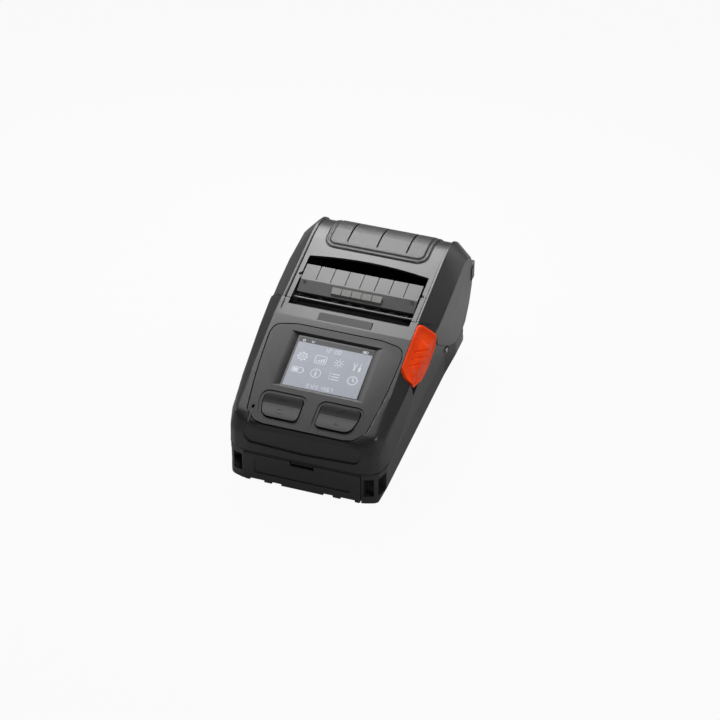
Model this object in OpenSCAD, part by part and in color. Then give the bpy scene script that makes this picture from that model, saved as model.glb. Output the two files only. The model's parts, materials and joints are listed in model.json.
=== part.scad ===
// Portable two-inch label printer, as an assembly of its separate pieces.
// Millimetres. +Z up, +Y to the rear (label bay), the display faces up and to the front.
// The origin is at the middle of the footprint, on the surface the printer stands on.

/* [Overall] */
// Overall length, front face to the tips of the rear lugs
length = 152; // [150:0.5:156]
// Height of the crown of the rear cover
height = 71; // [70:0.5:75]
// Width over the shoulders of the rear cover
width = 88.8; // [87:0.2:92]
// How far the rear lugs stand behind the cover
lug_reach = 1.4; // [1:0.1:2]
// Gap left along the seams between the shells
seam_gap = 0.3; // [0.2:0.05:0.4]

/* [Seams] */
// Height of the shadow line below the parting line
shadow_line = 0.5; // [0.3:0.05:0.6]
// Depth of the shadow line
shadow_depth = 0.8; // [0.5:0.05:1]
// Gap round the control panel
panel_gap = 0.45; // [0.3:0.05:0.5]

/* [Shells] */
// Wall of the moulded shells
wall = 2.2; // [1.8:0.1:2.4]
// Slope of the display panel
panel_slope = 19; // [18:0.5:20]
// Slope of the top of the cover
cover_slope = 12.6; // [12:0.2:13.4]
// Height of the parting line between the front housing and the base
parting_z = 19; // [18.9:0.1:19.8]
// Half width of the top, between the upper edges of the shoulders
rim_half = 36.8; // [36.4:0.1:37.4]
// Half width of the sides at the parting line
parting_half = 40.7; // [40.2:0.1:41.2]
// Half width of the base where it flares out at the rear
flare_half = 43.2; // [42.6:0.1:43.8]
// Fall of the shoulder facet at the front
shoulder_fall_front = 4.8; // [4.2:0.2:5.4]
// Fall of the shoulder facet at the cover
shoulder_fall_rear = 8.8; // [8:0.2:9.4]
// Radius of the moulded outer edges
edge_r = 1.2; // [0.9:0.1:1.5]
// Radius of the crown at the rear of the cover
crown_r = 24.6; // [24:0.2:25.4]
// Radius of the lower rear of the cover
tail_r = 38; // [37:0.5:39]
// Depth of the recessed band along the middle of the top
band_drop = 0.9; // [0.6:0.1:1.1]
// Half width of the recessed band
band_half = 34.6; // [34.2:0.1:35]
// Depth of the chin recess in the front wall
chin_depth = 1.1; // [0.8:0.1:1.3]

/* [Opening and paper path] */
// Half width of the opening over the platen
opening_half = 32.1; // [31.9:0.1:32.4]
// Length of the opening at its sides
opening_length = 33.1; // [32.6:0.1:33.6]
// Bow of the rear edge of the opening
opening_bow = 2.8; // [2:0.2:3.4]
// Radius of the rubber platen
platen_r = 5; // [4.8:0.1:5.2]
// Half length of the rubber platen
platen_half = 29.3; // [29:0.1:29.6]
// Radius of the platen shaft
shaft_r = 2; // [1.8:0.1:2.1]
// Depth of the platen axis below the top of the opening
platen_depth = 12.4; // [12.2:0.1:12.8]
// Radial clearance of a shaft in its bush
running_fit = 0.05; // [0.03:0.01:0.08]
// Gap between the platen and the print head
head_gap = 0.3; // [0.25:0.05:0.4]
// Number of teeth on the tear bar
tear_teeth = 50; // [40:2:60]
// Radius of the peel bar
peel_r = 0.8; // [0.7:0.05:0.9]

/* [Peeler flap] */
// Half width of the flap
flap_half = 31.2; // [30.8:0.1:31.4]
// Length of the upper, flat part of the flap
flap_top = 10.4; // [10:0.2:10.8]
// Length of the bent lower lip of the flap
flap_lip = 7.2; // [7:0.1:7.4]
// Thickness of the flap
flap_t = 1.5; // [1.3:0.1:1.7]
// Number of raised bars on the flap
flap_bars = 8; // [6:1:9]

/* [Display and keys] */
// Half width of the display opening at the panel surface
bezel_half = 23.9; // [23.6:0.1:24.2]
// Length of the display opening along the panel
bezel_length = 33.4; // [33.1:0.1:33.6]
// Half width of the visible display
screen_half = 20.1; // [19.8:0.1:20.4]
// Depth of the display window below the panel
screen_depth = 1.6; // [1.4:0.1:1.8]
// Thickness of the display window
window_t = 1; // [0.8:0.1:1.1]
// Width of a key pad
pad_width = 20.9; // [20.4:0.1:21.4]
// Length of a key pad along the panel
pad_length = 14.3; // [14:0.1:14.6]
// Share of the pad length taken by the upper key, as a length
upper_key = 5.7; // [5.4:0.1:6]
// Gap round each key cap
key_gap = 0.3; // [0.25:0.05:0.4]
// Width of the dish round the keys
dish_edge = 1.5; // [1.2:0.1:1.6]
// Depth of the dish round the keys
dish_depth = 0.5; // [0.3:0.1:0.6]
// Travel of a key
key_travel = 0.5; // [0.4:0.05:0.5]
// Thickness of the control panel
panel_t = 1.2; // [1:0.1:1.3]

/* [Label bay] */
// Half width of the widest labels
roll_half = 28.5; // [28:0.1:28.6]
// Radius of the hubs that hold the roll's core
hub_r = 6; // [5.8:0.1:6.1]
// Inner radius of the roll cradle
cradle_r = 26.4; // [26.2:0.1:26.6]
// Outward travel of each media guide
guide_travel = 4; // [3:0.5:4.5]

/* [Battery] */
// Half width of the battery pack
battery_half = 30.4; // [30:0.1:30.5]
// Length of the battery pack
battery_length = 62; // [58:0.5:63]
// Half width of the finger edge of the battery latch
latch_half = 5.8; // [5:0.1:6]
// Travel of the battery latch
battery_latch_travel = 1.2; // [1:0.1:1.2]
// Half width of the recessed field on the battery face
battery_field = 25.2; // [24.8:0.1:25.6]

/* [Drive] */
// Module of the drive gears
gear_module = 0.6; // [0.58:0.01:0.61]
// Teeth on the platen gear
platen_teeth = 20; // [20:1:20]
// Teeth on the idler gear
idler_teeth = 28; // [28:1:28]
// Teeth on the motor pinion
motor_teeth = 12; // [12:1:12]
// Face width of the drive gears
gear_face = 1.6; // [1.4:0.1:1.8]
// Radius of the stepper motor
motor_r = 9; // [8.6:0.1:9.2]

/* [Cover hinge] */
// Radius of the hinge pin
pin_r = 1.25; // [1.1:0.05:1.4]
// Radius of the hinge knuckles
knuckle_r = 2.9; // [2.7:0.1:3]
// Radius of the round lower edge of the cover
barrel_r = 5.9; // [5.6:0.1:6]

/* [Release lever] */
// How far the lever stands proud of the shell
lever_proud = 0.7; // [0.5:0.1:0.9]
// Thickness of the lever below the shell surface
lever_depth = 2.6; // [2.3:0.1:2.8]
// Turn of the lever from rest to its stop
lever_turn = 5; // [4:0.5:5.5]
// Gap round the lever in its pocket
lever_gap = 0.4; // [0.35:0.05:0.5]
// Radius of the latch shaft
latch_r = 1.6; // [1.5:0.05:1.7]

/* [Mounts] */
// Spacing across of the threaded inserts in the underside
insert_x = 52; // [48:1:56]
// Spacing lengthwise of the threaded inserts in the underside
insert_y = 28; // [26:1:30]
// Core radius of the threaded inserts
insert_r = 1.25; // [1.2:0.05:1.3]

/* [Hidden] */
$fn = 40;
eps = 0.01;

// Main stations along the length
half_w = width / 2;
front_y = -length / 2;
rear_y = length / 2 - lug_reach;
crown_y = rear_y - crown_r;
crown_z = height - crown_r;
top_rear_y = rear_y - 33.6;
knee_y = rear_y - 87.6;
knee_z = height - 1.1 - tan(cover_slope) * (top_rear_y - knee_y);
function rim_z(y) = knee_z + (y - knee_y) * tan(y < knee_y ? panel_slope : cover_slope);
function band_z(y) = rim_z(y) - band_drop;

// Opening, platen and hinge
opening_y = rear_y - 79.2;
opening_end = opening_y + opening_length;
platen_y = opening_y + 13.6;
platen_z = band_z(platen_y) - platen_depth;
hinge_y = rear_y - 13.6;
hinge_z = 17;
roll_y = hinge_y - 19;
roll_z = hinge_z + 25;
seam_low = hinge_z + 0.3;

// Seam between the cover and what is in front of it and below it, in the side view
seam_line = [[opening_y + 3.3, rim_z(opening_y + 3.3) - 0.5], [opening_y + 8.4, rim_z(opening_y) - 3.4],
  [opening_y + 9.2, rim_z(opening_y) - 9.8], [opening_y + 10.8, rim_z(opening_y) - 17.2],
  [opening_y + 32.8, 26], [opening_y + 40.6, 21.3], [opening_y + 48.6, seam_low]];
parting_line = [[opening_y + 14.6, parting_z], [opening_y + 26.6, parting_z + 1.2]];
far = 130;

// Panel frame: its origin lies on the panel surface, s runs up the slope, n stands out of it
panel_y = front_y + 31;
panel_z = rim_z(panel_y);
bezel_s = -7.9;
screen_s = bezel_s + 2.1;
screen_length = bezel_length - 2.9;
pad_x = 4.3;
pad_s = bezel_s - 4.6 - pad_length;

// Side plates and drive
plate_x = 35.6;
plate_t = 1.2;
gear_x = plate_x + plate_t + 0.4;
arm_in = platen_half + 0.7;
arm_out = arm_in + 3.2;
idler_way = -115;
motor_way = -150;
mesh_gap = 0.08;
idler_at = [platen_y, platen_z] + gear_reach(platen_teeth, idler_teeth) * [cos(idler_way), sin(idler_way)];
motor_at = idler_at + gear_reach(idler_teeth, motor_teeth) * [cos(motor_way), sin(motor_way)];
idler_phase = idler_way + 180 + 180 / idler_teeth;
idler_step = 360 / idler_teeth;
idler_lead = (motor_way - idler_phase) - idler_step * round((motor_way - idler_phase) / idler_step);
motor_phase = motor_way + 180 + idler_lead * idler_teeth / motor_teeth + 180 / motor_teeth;
function gear_reach(a, b) = gear_module * (a + b) / 2 + mesh_gap;

// Head, latch and lever
head_face = platen_y - platen_r - head_gap;
ceramic_t = 1;
sink_t = 4.4;
head_top = platen_z + 5;
head_low = platen_z - 12;
head_half = 30.2;
bracket_y = head_face - ceramic_t - sink_t - 4.4;
bracket_t = 1.4;
head_pivot_z = head_low + 2.4;
latch_y = platen_y - 18.5;
latch_z = platen_z;
lever_pts = [[-18, 6.1], [4.6, 10.9], [7.6, 10.2], [9.4, 6], [11.2, 0.5], [11.4, -3.2], [5.2, -7.2],
  [0.8, -10.2], [-9.6, -10.4], [-21.6, -6.8], [-23.4, -1.4], [-20.6, 3.2]];
lever_radii = [0.8, 2, 2, 4, 4, 3, 8, 4, 12, 1.5, 3, 1];
lever_top_half = rim_half - 0.3;

// Battery bay and floors
bay_floor = 1.9;
bay_roof = parting_z - 1.4;
battery_low = bay_floor + 0.3;
battery_high = bay_roof - 0.4;
battery_face_y = front_y + 0.4;
bay_rear = battery_face_y + battery_length + 0.6;
floor_z = 6.6;
board_z = parting_z + 1.6;
board_t = 1.6;

// Guides
guide_x = roll_half + 0.4;
guide_t = 2;
rack_z = 9.3;
rack_t = 2;
rack_module = 0.8;
rack_teeth = 12;
rack_pitch = PI * rack_module;
rack_r = rack_module * rack_teeth / 2;

charcoal = "#3b3b3d";
dark = "#232325";
light_grey = "#6e6e71";
orange = "#f0501e";
steel = "#b8babd";
green = "#1f5f3c";

// Helpers

function unit(v) = v / norm(v);
function turn(a) = a > 180 ? a - 360 : a < -180 ? a + 360 : a;
function corner(a, p, b, r, n) =
  r == 0 ? [p] :
  let (u = unit(a - p), v = unit(b - p), h = acos(u * v) / 2, c = p + unit(u + v) * r / sin(h),
    s = p + u * r / tan(h) - c, e = p + v * r / tan(h) - c,
    a0 = atan2(s[1], s[0]), da = turn(atan2(e[1], e[0]) - a0))
  [for (i = [0:n]) c + r * [cos(a0 + da * i / n), sin(a0 + da * i / n)]];
// Outline with its corners rounded: r is one radius, or a list with one for each corner
function rounded(p, r, n = 5) = let (k = len(p))
  [for (i = [0:k - 1]) each corner(p[(i + k - 1) % k], p[i], p[(i + 1) % k], is_list(r) ? r[i] : r, n)];
function box_pts(x0, y0, x1, y1) = [[x0, y0], [x1, y0], [x1, y1], [x0, y1]];

// Extrudes a side-view outline of (y, z) points from x0 to x1
module prism(pts, x0, x1) {
  translate([x0, 0, 0]) rotate([90, 0, 90]) linear_extrude(x1 - x0) polygon(pts);
}
// Extrudes a front-view outline of (x, z) points from y0 to y1
module front_prism(pts, y0, y1) {
  translate([0, y1, 0]) rotate([90, 0, 0]) linear_extrude(y1 - y0) polygon(pts);
}
module box(x0, y0, z0, x1, y1, z1) {
  translate([x0, y0, z0]) cube([x1 - x0, y1 - y0, z1 - z0]);
}
// Cylinder along X from x0 to x1 about the axis at (y, z)
module rod(y, z, r, x0, x1) {
  translate([x0, y, z]) rotate([0, 90, 0]) cylinder(h = x1 - x0, r = r);
}
module tube(y, z, r, hole, x0, x1) {
  difference() {
    rod(y, z, r, x0, x1);
    rod(y, z, hole, x0 - 1, x1 + 1);
  }
}
module both() {
  children();
  mirror([1, 0, 0]) children();
}
module on_panel() {
  translate([0, panel_y, panel_z]) rotate([panel_slope, 0, 0]) children();
}

// Involute gear outline, with a tooth centred on the X axis
function involute(rb, t) = rb * [cos(t) + t * PI / 180 * sin(t), sin(t) - t * PI / 180 * cos(t)];
function flank(z, m, s) = let (r = m * z / 2, rb = r * cos(20), rt = r + 0.8 * m,
    tp = tan(20) * 180 / PI, half = 90 / z - 1.1 + (tp - 20), tm = sqrt(pow(rt / rb, 2) - 1) * 180 / PI)
  [for (i = [0:4]) let (p = involute(rb, tm * i / 4), a = atan2(p[1], p[0]) - half)
    norm(p) * [cos(a), s * sin(a)]];
function gear_pts(z, m) = [for (k = [0:z - 1]) let (a = 360 * k / z, f = flank(z, m, 1),
    root = m * (z / 2 - 1.15), low = unit(f[0]) * root,
    one = concat([low], f, [for (i = [4:-1:0]) [f[i][0], -f[i][1]]], [[low[0], -low[1]]]))
  each [for (p = one) [p[0] * cos(a) - p[1] * sin(a), p[0] * sin(a) + p[1] * cos(a)]]];
module gear(at, z, phase, bore, x0) {
  translate([x0, at[0], at[1]]) rotate([90, 0, 90]) difference() {
    rotate([0, 0, phase]) linear_extrude(gear_face) polygon(gear_pts(z, gear_module));
    translate([0, 0, -1]) cylinder(h = gear_face + 2, r = bore);
  }
}

// Outer forms of the shells

// Half width at the shoulder line
function shoulder_x(y) = let (t = (y - front_y - 11.4) / 68)
  40.2 + (half_w - 40.2) * min(1, max(0, t));
function shoulder_fall(y) = let (t = (y - front_y - 26) / 80)
  shoulder_fall_front + (shoulder_fall_rear - shoulder_fall_front) * min(1, max(0, t));

front_stations = [26, 43, 59.2, 78, 92.8, 107.2];
rim_stations = [7, 26, 46, 63];
// Control points of the front housing, for one side, moved inwards by d
function front_pts(d) = concat(
  [for (q = [[30, 0], [36, 1.2], [39.4, 4.5]]) [q[0] - d, front_y + q[1] + d, parting_z - 6]],
  [[parting_half - d, front_y + 10, parting_z - 6], [parting_half - d, opening_y + 12.6, parting_z - 6],
   [parting_half + 0.6 - d, opening_y + 34.6, parting_z - 2]],
  [for (q = [[30, 0.4, 29], [36, 1.6, 28], [39, 4.3, 29]]) [q[0] - d, front_y + q[1] + d, q[2]]],
  [[40.2 - d, front_y + 11.4 + d / 2, rim_z(front_y + 11.4) - 5.4]],
  [for (s = front_stations) let (y = front_y + s) [shoulder_x(y) - d, y, rim_z(y) - shoulder_fall(y) - d / 3]],
  [[29 - d, front_y + 1.7 + d, rim_z(front_y + 1.7) - 0.2 - d], [34 - d, front_y + 3.2 + d, rim_z(front_y + 3.2) - 0.9 - d]],
  [for (s = rim_stations) let (y = front_y + s) [rim_half - 0.7 * d, y, rim_z(y) - d]],
  [[rim_half - 0.7 * d, opening_y + 34.6, rim_z(opening_y + 34.6) - d]]);

crown_turns = [100, 90, 76, 62, 48, 34, 18, 0];
tail_turns = [-16, -32, -48];
// Rim and shoulder points of the cover round the rear, at a turn of a degrees
function rear_at(a, r_cut) = a >= 0
  ? [crown_y + (crown_r - r_cut) * cos(a), crown_z + (crown_r - r_cut) * sin(a)]
  : [rear_y - tail_r + (tail_r - r_cut) * cos(a), crown_z + (tail_r - r_cut) * sin(a)];
function cheek_cut(a) = 1.6 + (shoulder_fall_rear - 2.4) * max(0, sin(a));
function cover_pts(d) = concat(
  [for (y = [knee_y, top_rear_y]) [rim_half - 0.2 - 0.7 * d, y, rim_z(y) - d]],
  [for (a = concat(crown_turns, tail_turns)) let (p = rear_at(a, d)) [rim_half - 0.4 - 0.7 * d, p[0], p[1]]],
  [for (y = [opening_y - 2, opening_y + 20, opening_y + 36]) [shoulder_x(y) - d, y, rim_z(y) - shoulder_fall_rear - d / 3]],
  [for (a = concat([80, 55, 30, 0], tail_turns)) let (p = rear_at(a, cheek_cut(a) + d))
    [flare_half + 0.6 * max(0, sin(a)) - d, p[0], p[1]]],
  [for (y = [opening_y + 4, opening_y + 48]) [flare_half - d, y, seam_low - 3]]);
module shell(pts, r) {
  hull() for (p = pts, s = [-1, 1]) translate([s * p[0], p[1], p[2]]) sphere(r = r / cos(22.5), $fn = 8);
}
module front_solid(d = 0) {
  shell(front_pts(edge_r + d), edge_r);
}
module cover_solid(d = 0) {
  shell(cover_pts(edge_r + d), edge_r);
}

// Plan outline of the base, moved inwards by d
function base_outline(d) = let (h = parting_half - d, f = flare_half - d, q = [[30, front_y + 0.6 + d],
    [38.4 - d, front_y + 3.4 + d], [h, front_y + 11], [h, opening_y + 36], [f, opening_y + 48], [f, rear_y - 17],
    [39.5, rear_y - 9]], r = [6, 5, 6, 10, 10, 8, 6])
  rounded(concat(q, [for (i = [len(q) - 1:-1:0]) [-q[i][0], q[i][1]]]), concat(r, [for (i = [len(r) - 1:-1:0]) r[i]]));
base_tail = [[rear_y - 30.6, 0], [rear_y - 20.6, 5.2], [rear_y - 13.6, 11.4], [rear_y - 9.4, seam_low]];
base_side = rounded(concat([[front_y, 0]], base_tail, [[rear_y - 9, 30], [front_y, 30]]), [1.6, 16, 8, 6, 0, 0, 0]);
base_section = [[-flare_half, 30], [-flare_half, 9.5], [-38.5, 0], [38.5, 0], [flare_half, 9.5], [flare_half, 30]];
base_top = concat([[front_y - 5, parting_z], parting_line[0], parting_line[1]],
  [seam_line[4], seam_line[5], seam_line[6], [far, seam_low], [far, -5], [front_y - 5, -5]]);
module base_solid() {
  intersection() {
    linear_extrude(30) polygon(base_outline(0));
    prism(base_side, -far, far);
    front_prism(base_section, front_y, far);
  }
}
module seam_side(dy, dz) {
  translate([0, dy, dz]) prism(concat([[seam_line[0][0], far]], seam_line, [[far, seam_low], [far, far]]), -far, far);
}

// The shells

module base_housing() {
  color(charcoal) {
    difference() {
      translate([0, 0, -seam_gap]) intersection() {
        translate([0, 0, seam_gap]) base_solid();
        prism(base_top, -far, far);
      }
      base_cavities();
      base_holes();
      shadow_cut();
    }
    base_knuckles();
    base_posts();
  }
}
// Shadow line along the upper edge, outside the wall
module shadow_cut() {
  drop = [0, seam_gap + shadow_line];
  difference() {
    prism([[front_y - 5, parting_z] - drop, parting_line[0] - drop, parting_line[1] - drop, seam_line[4] - drop,
      [seam_line[4][0], far], [front_y - 5, far]], -far, far);
    linear_extrude(60) polygon(base_outline(shadow_depth));
  }
}
module base_cavities() {
  // Battery bay, open at the front
  box(-battery_half - 0.3, front_y - 5, bay_floor, battery_half + 0.3, bay_rear, bay_roof);
  // Seat of the battery's face plate
  box(-battery_half - 0.3, front_y - 5, -1, battery_half + 0.3, battery_face_y + 3.3, bay_roof);
  // Side pockets beside the bay
  both() box(battery_half + 2.1, front_y + 16, 3, parting_half - wall, bay_rear - 2, 40);
  // Main cavity under the roll cradle
  difference() {
    intersection() {
      linear_extrude(60) polygon(rounded([[-parting_half + wall, bay_rear + 1.6],
        [parting_half - wall, bay_rear + 1.6], [parting_half - wall, opening_y + 36],
        [flare_half - wall, opening_y + 48], [flare_half - wall, rear_y - 20],
        [-flare_half + wall, rear_y - 20], [-flare_half + wall, opening_y + 48],
        [-parting_half + wall, opening_y + 36]], 2));
      prism([[front_y, floor_z], [rear_y - 29, floor_z], [rear_y - 22, 10.4], [rear_y - 17.4, 14.4], [rear_y - 17.4, 60],
        [front_y, 60]], -far, far);
    }
    // Full floor round the threaded inserts
    for (x = [-1, 1], y = [0, 1]) translate([x * insert_x / 2, clip_y + y * insert_y, 0])
      cylinder(h = floor_z + 3, r = insert_r + 2);
  }
  // Room for the cover's round lower edge
  rod(hinge_y, hinge_z, barrel_r + seam_gap, -far, far);
  // Recess for the belt clip
  linear_extrude(clip_room) polygon(rounded(box_pts(-clip_half - 0.6, clip_y - 8, clip_half + 0.6, clip_y + 38), 2));
}
clip_y = bay_rear + 12;
clip_half = 11;
clip_room = 4.4;
module base_holes() {
  // Strap slots through the front corners
  both() strap_slot();
  // Threaded inserts in the underside
  for (x = [-1, 1], y = [0, 1]) translate([x * insert_x / 2, clip_y + y * insert_y, -1]) cylinder(h = 9, r = insert_r);
  // Holes for the housing screws and belt clip screws
  for (p = screw_at) translate([p[0], p[1], -1]) {
    cylinder(h = 60, r = 1.4);
    cylinder(h = 4.6, r = 2.6);
  }
  for (y = clip_screw_y) translate([0, y, 3]) cylinder(h = 8, r = 0.93);
  // Seats of the strap pins and the dark notch behind each
  both() strap_seat();
}
strap_low = 4.4;
strap_high = 15;
strap_in = 31.7;
module strap_slot() {
  // Slot in the front face, slot in the side, and the way round the corner post
  box(strap_in, front_y - 2, strap_low, 36.6, front_y + 6.4, strap_high);
  box(34.6, front_y + 4.4, strap_low, 46, front_y + 10.4, strap_high);
  box(strap_in, front_y + 4.2, strap_low, 36.6, front_y + 10.4, strap_high);
}
screw_at = [for (y = [front_y + 14, bay_rear - 10.9], x = [-1, 1]) [x * (parting_half - 5.3), y]];
clip_screw_y = [clip_y - 4.5, clip_y + 1.5];
knuckle_out = 24;
knuckle_in = 14.4;
module base_knuckles() {
  both() difference() {
    union() {
      rod(hinge_y, hinge_z, knuckle_r, knuckle_in, knuckle_out);
      prism([[hinge_y - 8.6, 12.4], [hinge_y, hinge_z - knuckle_r], [hinge_y - 0.4, hinge_z + knuckle_r], [hinge_y - 8.6, 13.8]],
        knuckle_in, knuckle_out);
    }
    rod(hinge_y, hinge_z, pin_r + 0.02, -far, far);
  }
}
module base_posts() {
  // Bosses round the housing screws, posts under the cradle and the post of the guide pinion
  for (p = screw_at) difference() {
    translate([p[0], p[1], 2]) cylinder(h = parting_z - seam_gap - 2, r = 3);
    translate([p[0], p[1], -1]) cylinder(h = 60, r = 1.4);
    translate([p[0], p[1], -1]) cylinder(h = 4.6, r = 2.6);
  }
  translate([0, roll_y, floor_z - eps]) cylinder(h = rack_z + rack_t + 0.4 - floor_z, r = 1.5);
  translate([0, roll_y, floor_z - eps]) cylinder(h = rack_z - 0.2 - floor_z, r = 3);
  for (p = board_at) translate([p[0], p[1], parting_z - 1]) cylinder(h = board_z - parting_z + 1, r = 2);
  both() for (y = [frame_front + 3, roll_y + 6]) box(plate_x - 3, y, floor_z - eps, plate_x + plate_t, y + 6, frame_low);
}
frame_front = bay_rear + 2.2;
frame_low = floor_z + 1.4;
board_at = [[-30, front_y + 18], [30, front_y + 18], [-30, front_y + 50], [30, front_y + 50]];

panel_pts = let (q = [[21, -30.6], [25.4, -29.6], [30.6, -24.6], [32.8, -6.9], [33.7, 3.4], [34.2, 12.5],
    [34.6, 21.6], [33.4, 27.4], [22, 29.6]])
  concat(q, [for (i = [len(q) - 1:-1:0]) [-q[i][0], q[i][1]]]);
panel_radii = let (r = [1, 2.5, 3, 20, 20, 20, 8, 5, 14]) concat(r, [for (i = [len(r) - 1:-1:0]) r[i]]);
module front_housing() {
  color(charcoal) {
    difference() {
      intersection() {
        difference() {
          front_solid();
          front_solid(wall);
          // Open underside
          linear_extrude(parting_z + 4) polygon(rounded(box_pts(-parting_half + wall, front_y + wall + 0.8,
            parting_half - wall, opening_y + 40), [8, 8, 0, 0]));
        }
        translate([0, -seam_gap / 2, 0]) prism(concat([[front_y - 5, parting_z], parting_line[0], parting_line[1]],
          [for (i = [4:-1:0]) seam_line[i]], [[seam_line[0][0], far], [front_y - 5, far]]), -far, far);
      }
      front_cuts();
    }
    front_bosses();
  }
}
module front_cuts() {
  // Opening over the platen and the recessed band round it
  opening_cut();
  band_cut();
  // Seat of the control panel and the window inside it
  on_panel() {
    translate([0, 0, -panel_t - 0.15]) linear_extrude(20) offset(delta = panel_gap) polygon(rounded(panel_pts, panel_radii));
    translate([0, 0, -12]) linear_extrude(20) polygon(rounded(box_pts(-28.4, pad_s - 1.4, 28.4, bezel_s + bezel_length + 1.7), 3));
  }
  // Chin recess
  front_prism(rounded([[-28.4, 24.2], [0, 22.9], [28.4, 24.2], [30.4, 28], [30.2, 50], [-30.2, 50], [-30.4, 28]],
    [4, 40, 4, 3, 0, 0, 3]), front_y - 5, front_y + chin_depth);
  // Slot for the light pipe
  box(-pipe_x - pipe_t - pipe_fit, pipe_y, rim_z(pipe_y) - 8, -pipe_x + pipe_fit, pipe_y + pipe_length, rim_z(pipe_y) + 10);
  // Seat of the nameplate
  translate([0, plate_y, band_z(plate_y)]) rotate([cover_slope, 0, 0]) box(-14.2, -2.7, -0.6, 14.2, 2.7, 3);
  // Slot that holds the tear bar
  box(-opening_half - 0.1, opening_y - 1.7, tear_z - 0.05, opening_half + 0.1, opening_y + 1, tear_z + tear_t + 0.05);
  // Pocket of the release lever
  lever_pocket();
  // Port recess in the left wall
  box(-far, port_y0 - 0.3, port_z0 - 0.3, -parting_half + 2.4, port_y1 + 2.4, port_z1 + 0.3);
  box(-far, port_y0 + 2, port_z0 + 1.6, -30, port_y1 - 2.5, port_z1 - 1.6);
}
plate_y = opening_y - 4.7;
tear_z = band_z(opening_y) - 1.7;
tear_t = 0.6;
module opening_cut() {
  n = 8;
  translate([0, 0, platen_z - 10]) linear_extrude(60) polygon(concat(
    [[-opening_half, opening_y], [opening_half, opening_y]],
    [for (i = [0:n]) let (x = opening_half * (1 - 2 * i / n))
      [x, opening_end + opening_bow * (1 - pow(x / opening_half, 2))]]));
}
module band_cut() {
  intersection() {
    translate([0, 0, 20]) linear_extrude(80) polygon(rounded(box_pts(-band_half, knee_y + 0.6, band_half, far), [4.5, 4.5, 0, 0]));
    prism(concat([[knee_y - 5, band_z(knee_y) - 1.5], [knee_y, band_z(knee_y)], [top_rear_y, band_z(top_rear_y)]],
      [for (a = concat(crown_turns, tail_turns)) rear_at(a, band_drop)], [[far, -10], [far, far], [knee_y - 5, far]]), -far, far);
  }
}
module front_bosses() {
  for (p = screw_at) difference() {
    union() {
      translate([p[0], p[1], parting_z + 0.02]) cylinder(h = 10, r = 3);
      // Web to the side wall
      translate([p[0] + (p[0] < 0 ? -4.9 : 1.9), p[1] - 0.8, parting_z + 0.02]) cube([3, 1.6, 10]);
    }
    translate([p[0], p[1], 0]) cylinder(h = parting_z + 8, r = 1.03);
  }
}
port_y0 = front_y + 22;
port_y1 = front_y + 48;
port_z0 = parting_z + 3.4;
port_z1 = port_z0 + 10;

module rear_cover() {
  color(charcoal) {
    difference() {
      union() {
        intersection() {
          difference() {
            cover_solid();
            cover_solid(wall);
          }
          seam_side(seam_gap / 2, seam_gap / 2);
        }
        cover_edge();
      }
      opening_cut();
      band_cut();
      // Seat of the grip pad
      pad_form(-0.5, 3);
      // Room for the base's hinge knuckles
      both() knuckle_room();
      rod(hinge_y, hinge_z, pin_r + running_fit, -knuckle_in - 1, knuckle_in + 1);
      // Notches for the flap's pins
      both() {
        rod(flap_y, flap_z, flap_pin_r + 0.1, flap_half, opening_half + 2.2);
        translate([0, 0, flap_z - 1]) linear_extrude(20) polygon([[opening_half - 1, flap_y - 3.2],
          [opening_half + 1.6, flap_y], [opening_half - 1, flap_y + 2.4]]);
        strap_seat();
      }
      // Seats of the rear lugs
      both() lug_form();
    }
    cover_arms();
    cover_barrel_web();
  }
}
// Room for one hinge knuckle; a lip of the cover closes it above and behind the knuckle
module knuckle_room() {
  rod(hinge_y, hinge_z, knuckle_r + seam_gap, knuckle_in - seam_gap, knuckle_out + seam_gap);
  difference() {
    rod(hinge_y, hinge_z, barrel_r + seam_gap, knuckle_in - seam_gap, knuckle_out + seam_gap);
    prism([[hinge_y, hinge_z], for (a = [-2:30:148]) [hinge_y + 2 * barrel_r * cos(a), hinge_z + 2 * barrel_r * sin(a)]],
      knuckle_in - 1, knuckle_out + 1);
  }
}
// Round lower edge of the cover, about the hinge
module cover_edge() {
  difference() {
    intersection() {
      union() {
        base_solid();
        cover_solid();
      }
      rod(hinge_y, hinge_z, barrel_r, -flare_half, flare_half);
    }
    // Hollow inner side, except round the hinge pin at the ends of the middle knuckle
    both() prism([[hinge_y - 8, hinge_z - 8], [hinge_y - 1.2, hinge_z - 8], [hinge_y - 1.2, hinge_z + 8], [hinge_y - 8, hinge_z + 8]],
      knuckle_out + 0.6, flare_half + 1);
  }
}
module cover_barrel_web() {
  difference() {
    rod(hinge_y, hinge_z, knuckle_r, -knuckle_in + seam_gap, knuckle_in - seam_gap);
    rod(hinge_y, hinge_z, pin_r + running_fit, -far, far);
  }
}
module cover_arms() {
  // Side ribs of the opening, with the arms that carry the platen and the flap
  both() difference() {
    prism([[opening_y + 7.2, platen_z + 3.6], [platen_y - 4.2, platen_z + 1], [platen_y - 2.6, platen_z - 4.2],
      [platen_y + 3.4, platen_z - 4.2], [platen_y + 5.4, platen_z + 1.6], [opening_end - 4, platen_z + 10.8],
      [opening_end - 4, rim_z(opening_end - 4) - wall + 0.3], [opening_y + 7.2, rim_z(opening_y + 7.2) - wall + 0.3]],
      arm_in + 0.6, arm_out);
    rod(platen_y, platen_z, bush_r + 0.02, -far, far);
    rod(flap_y, flap_z, flap_pin_r + 0.1, flap_half - 2, opening_half + 2.2);
    // Above the platen the arms lie back behind the side walls of the opening
    box(0, opening_y - 5, platen_z + 5.5, opening_half, opening_end + 5, far);
    rod(peel_y, peel_z, peel_r + 0.02, -far, far);
  }
}
bush_r = 3.3;
peel_y = platen_y - 4.1;
peel_z = band_z(peel_y) - 4.7;

pad_half = 28;
pad_front = top_rear_y - 4.6;
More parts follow.
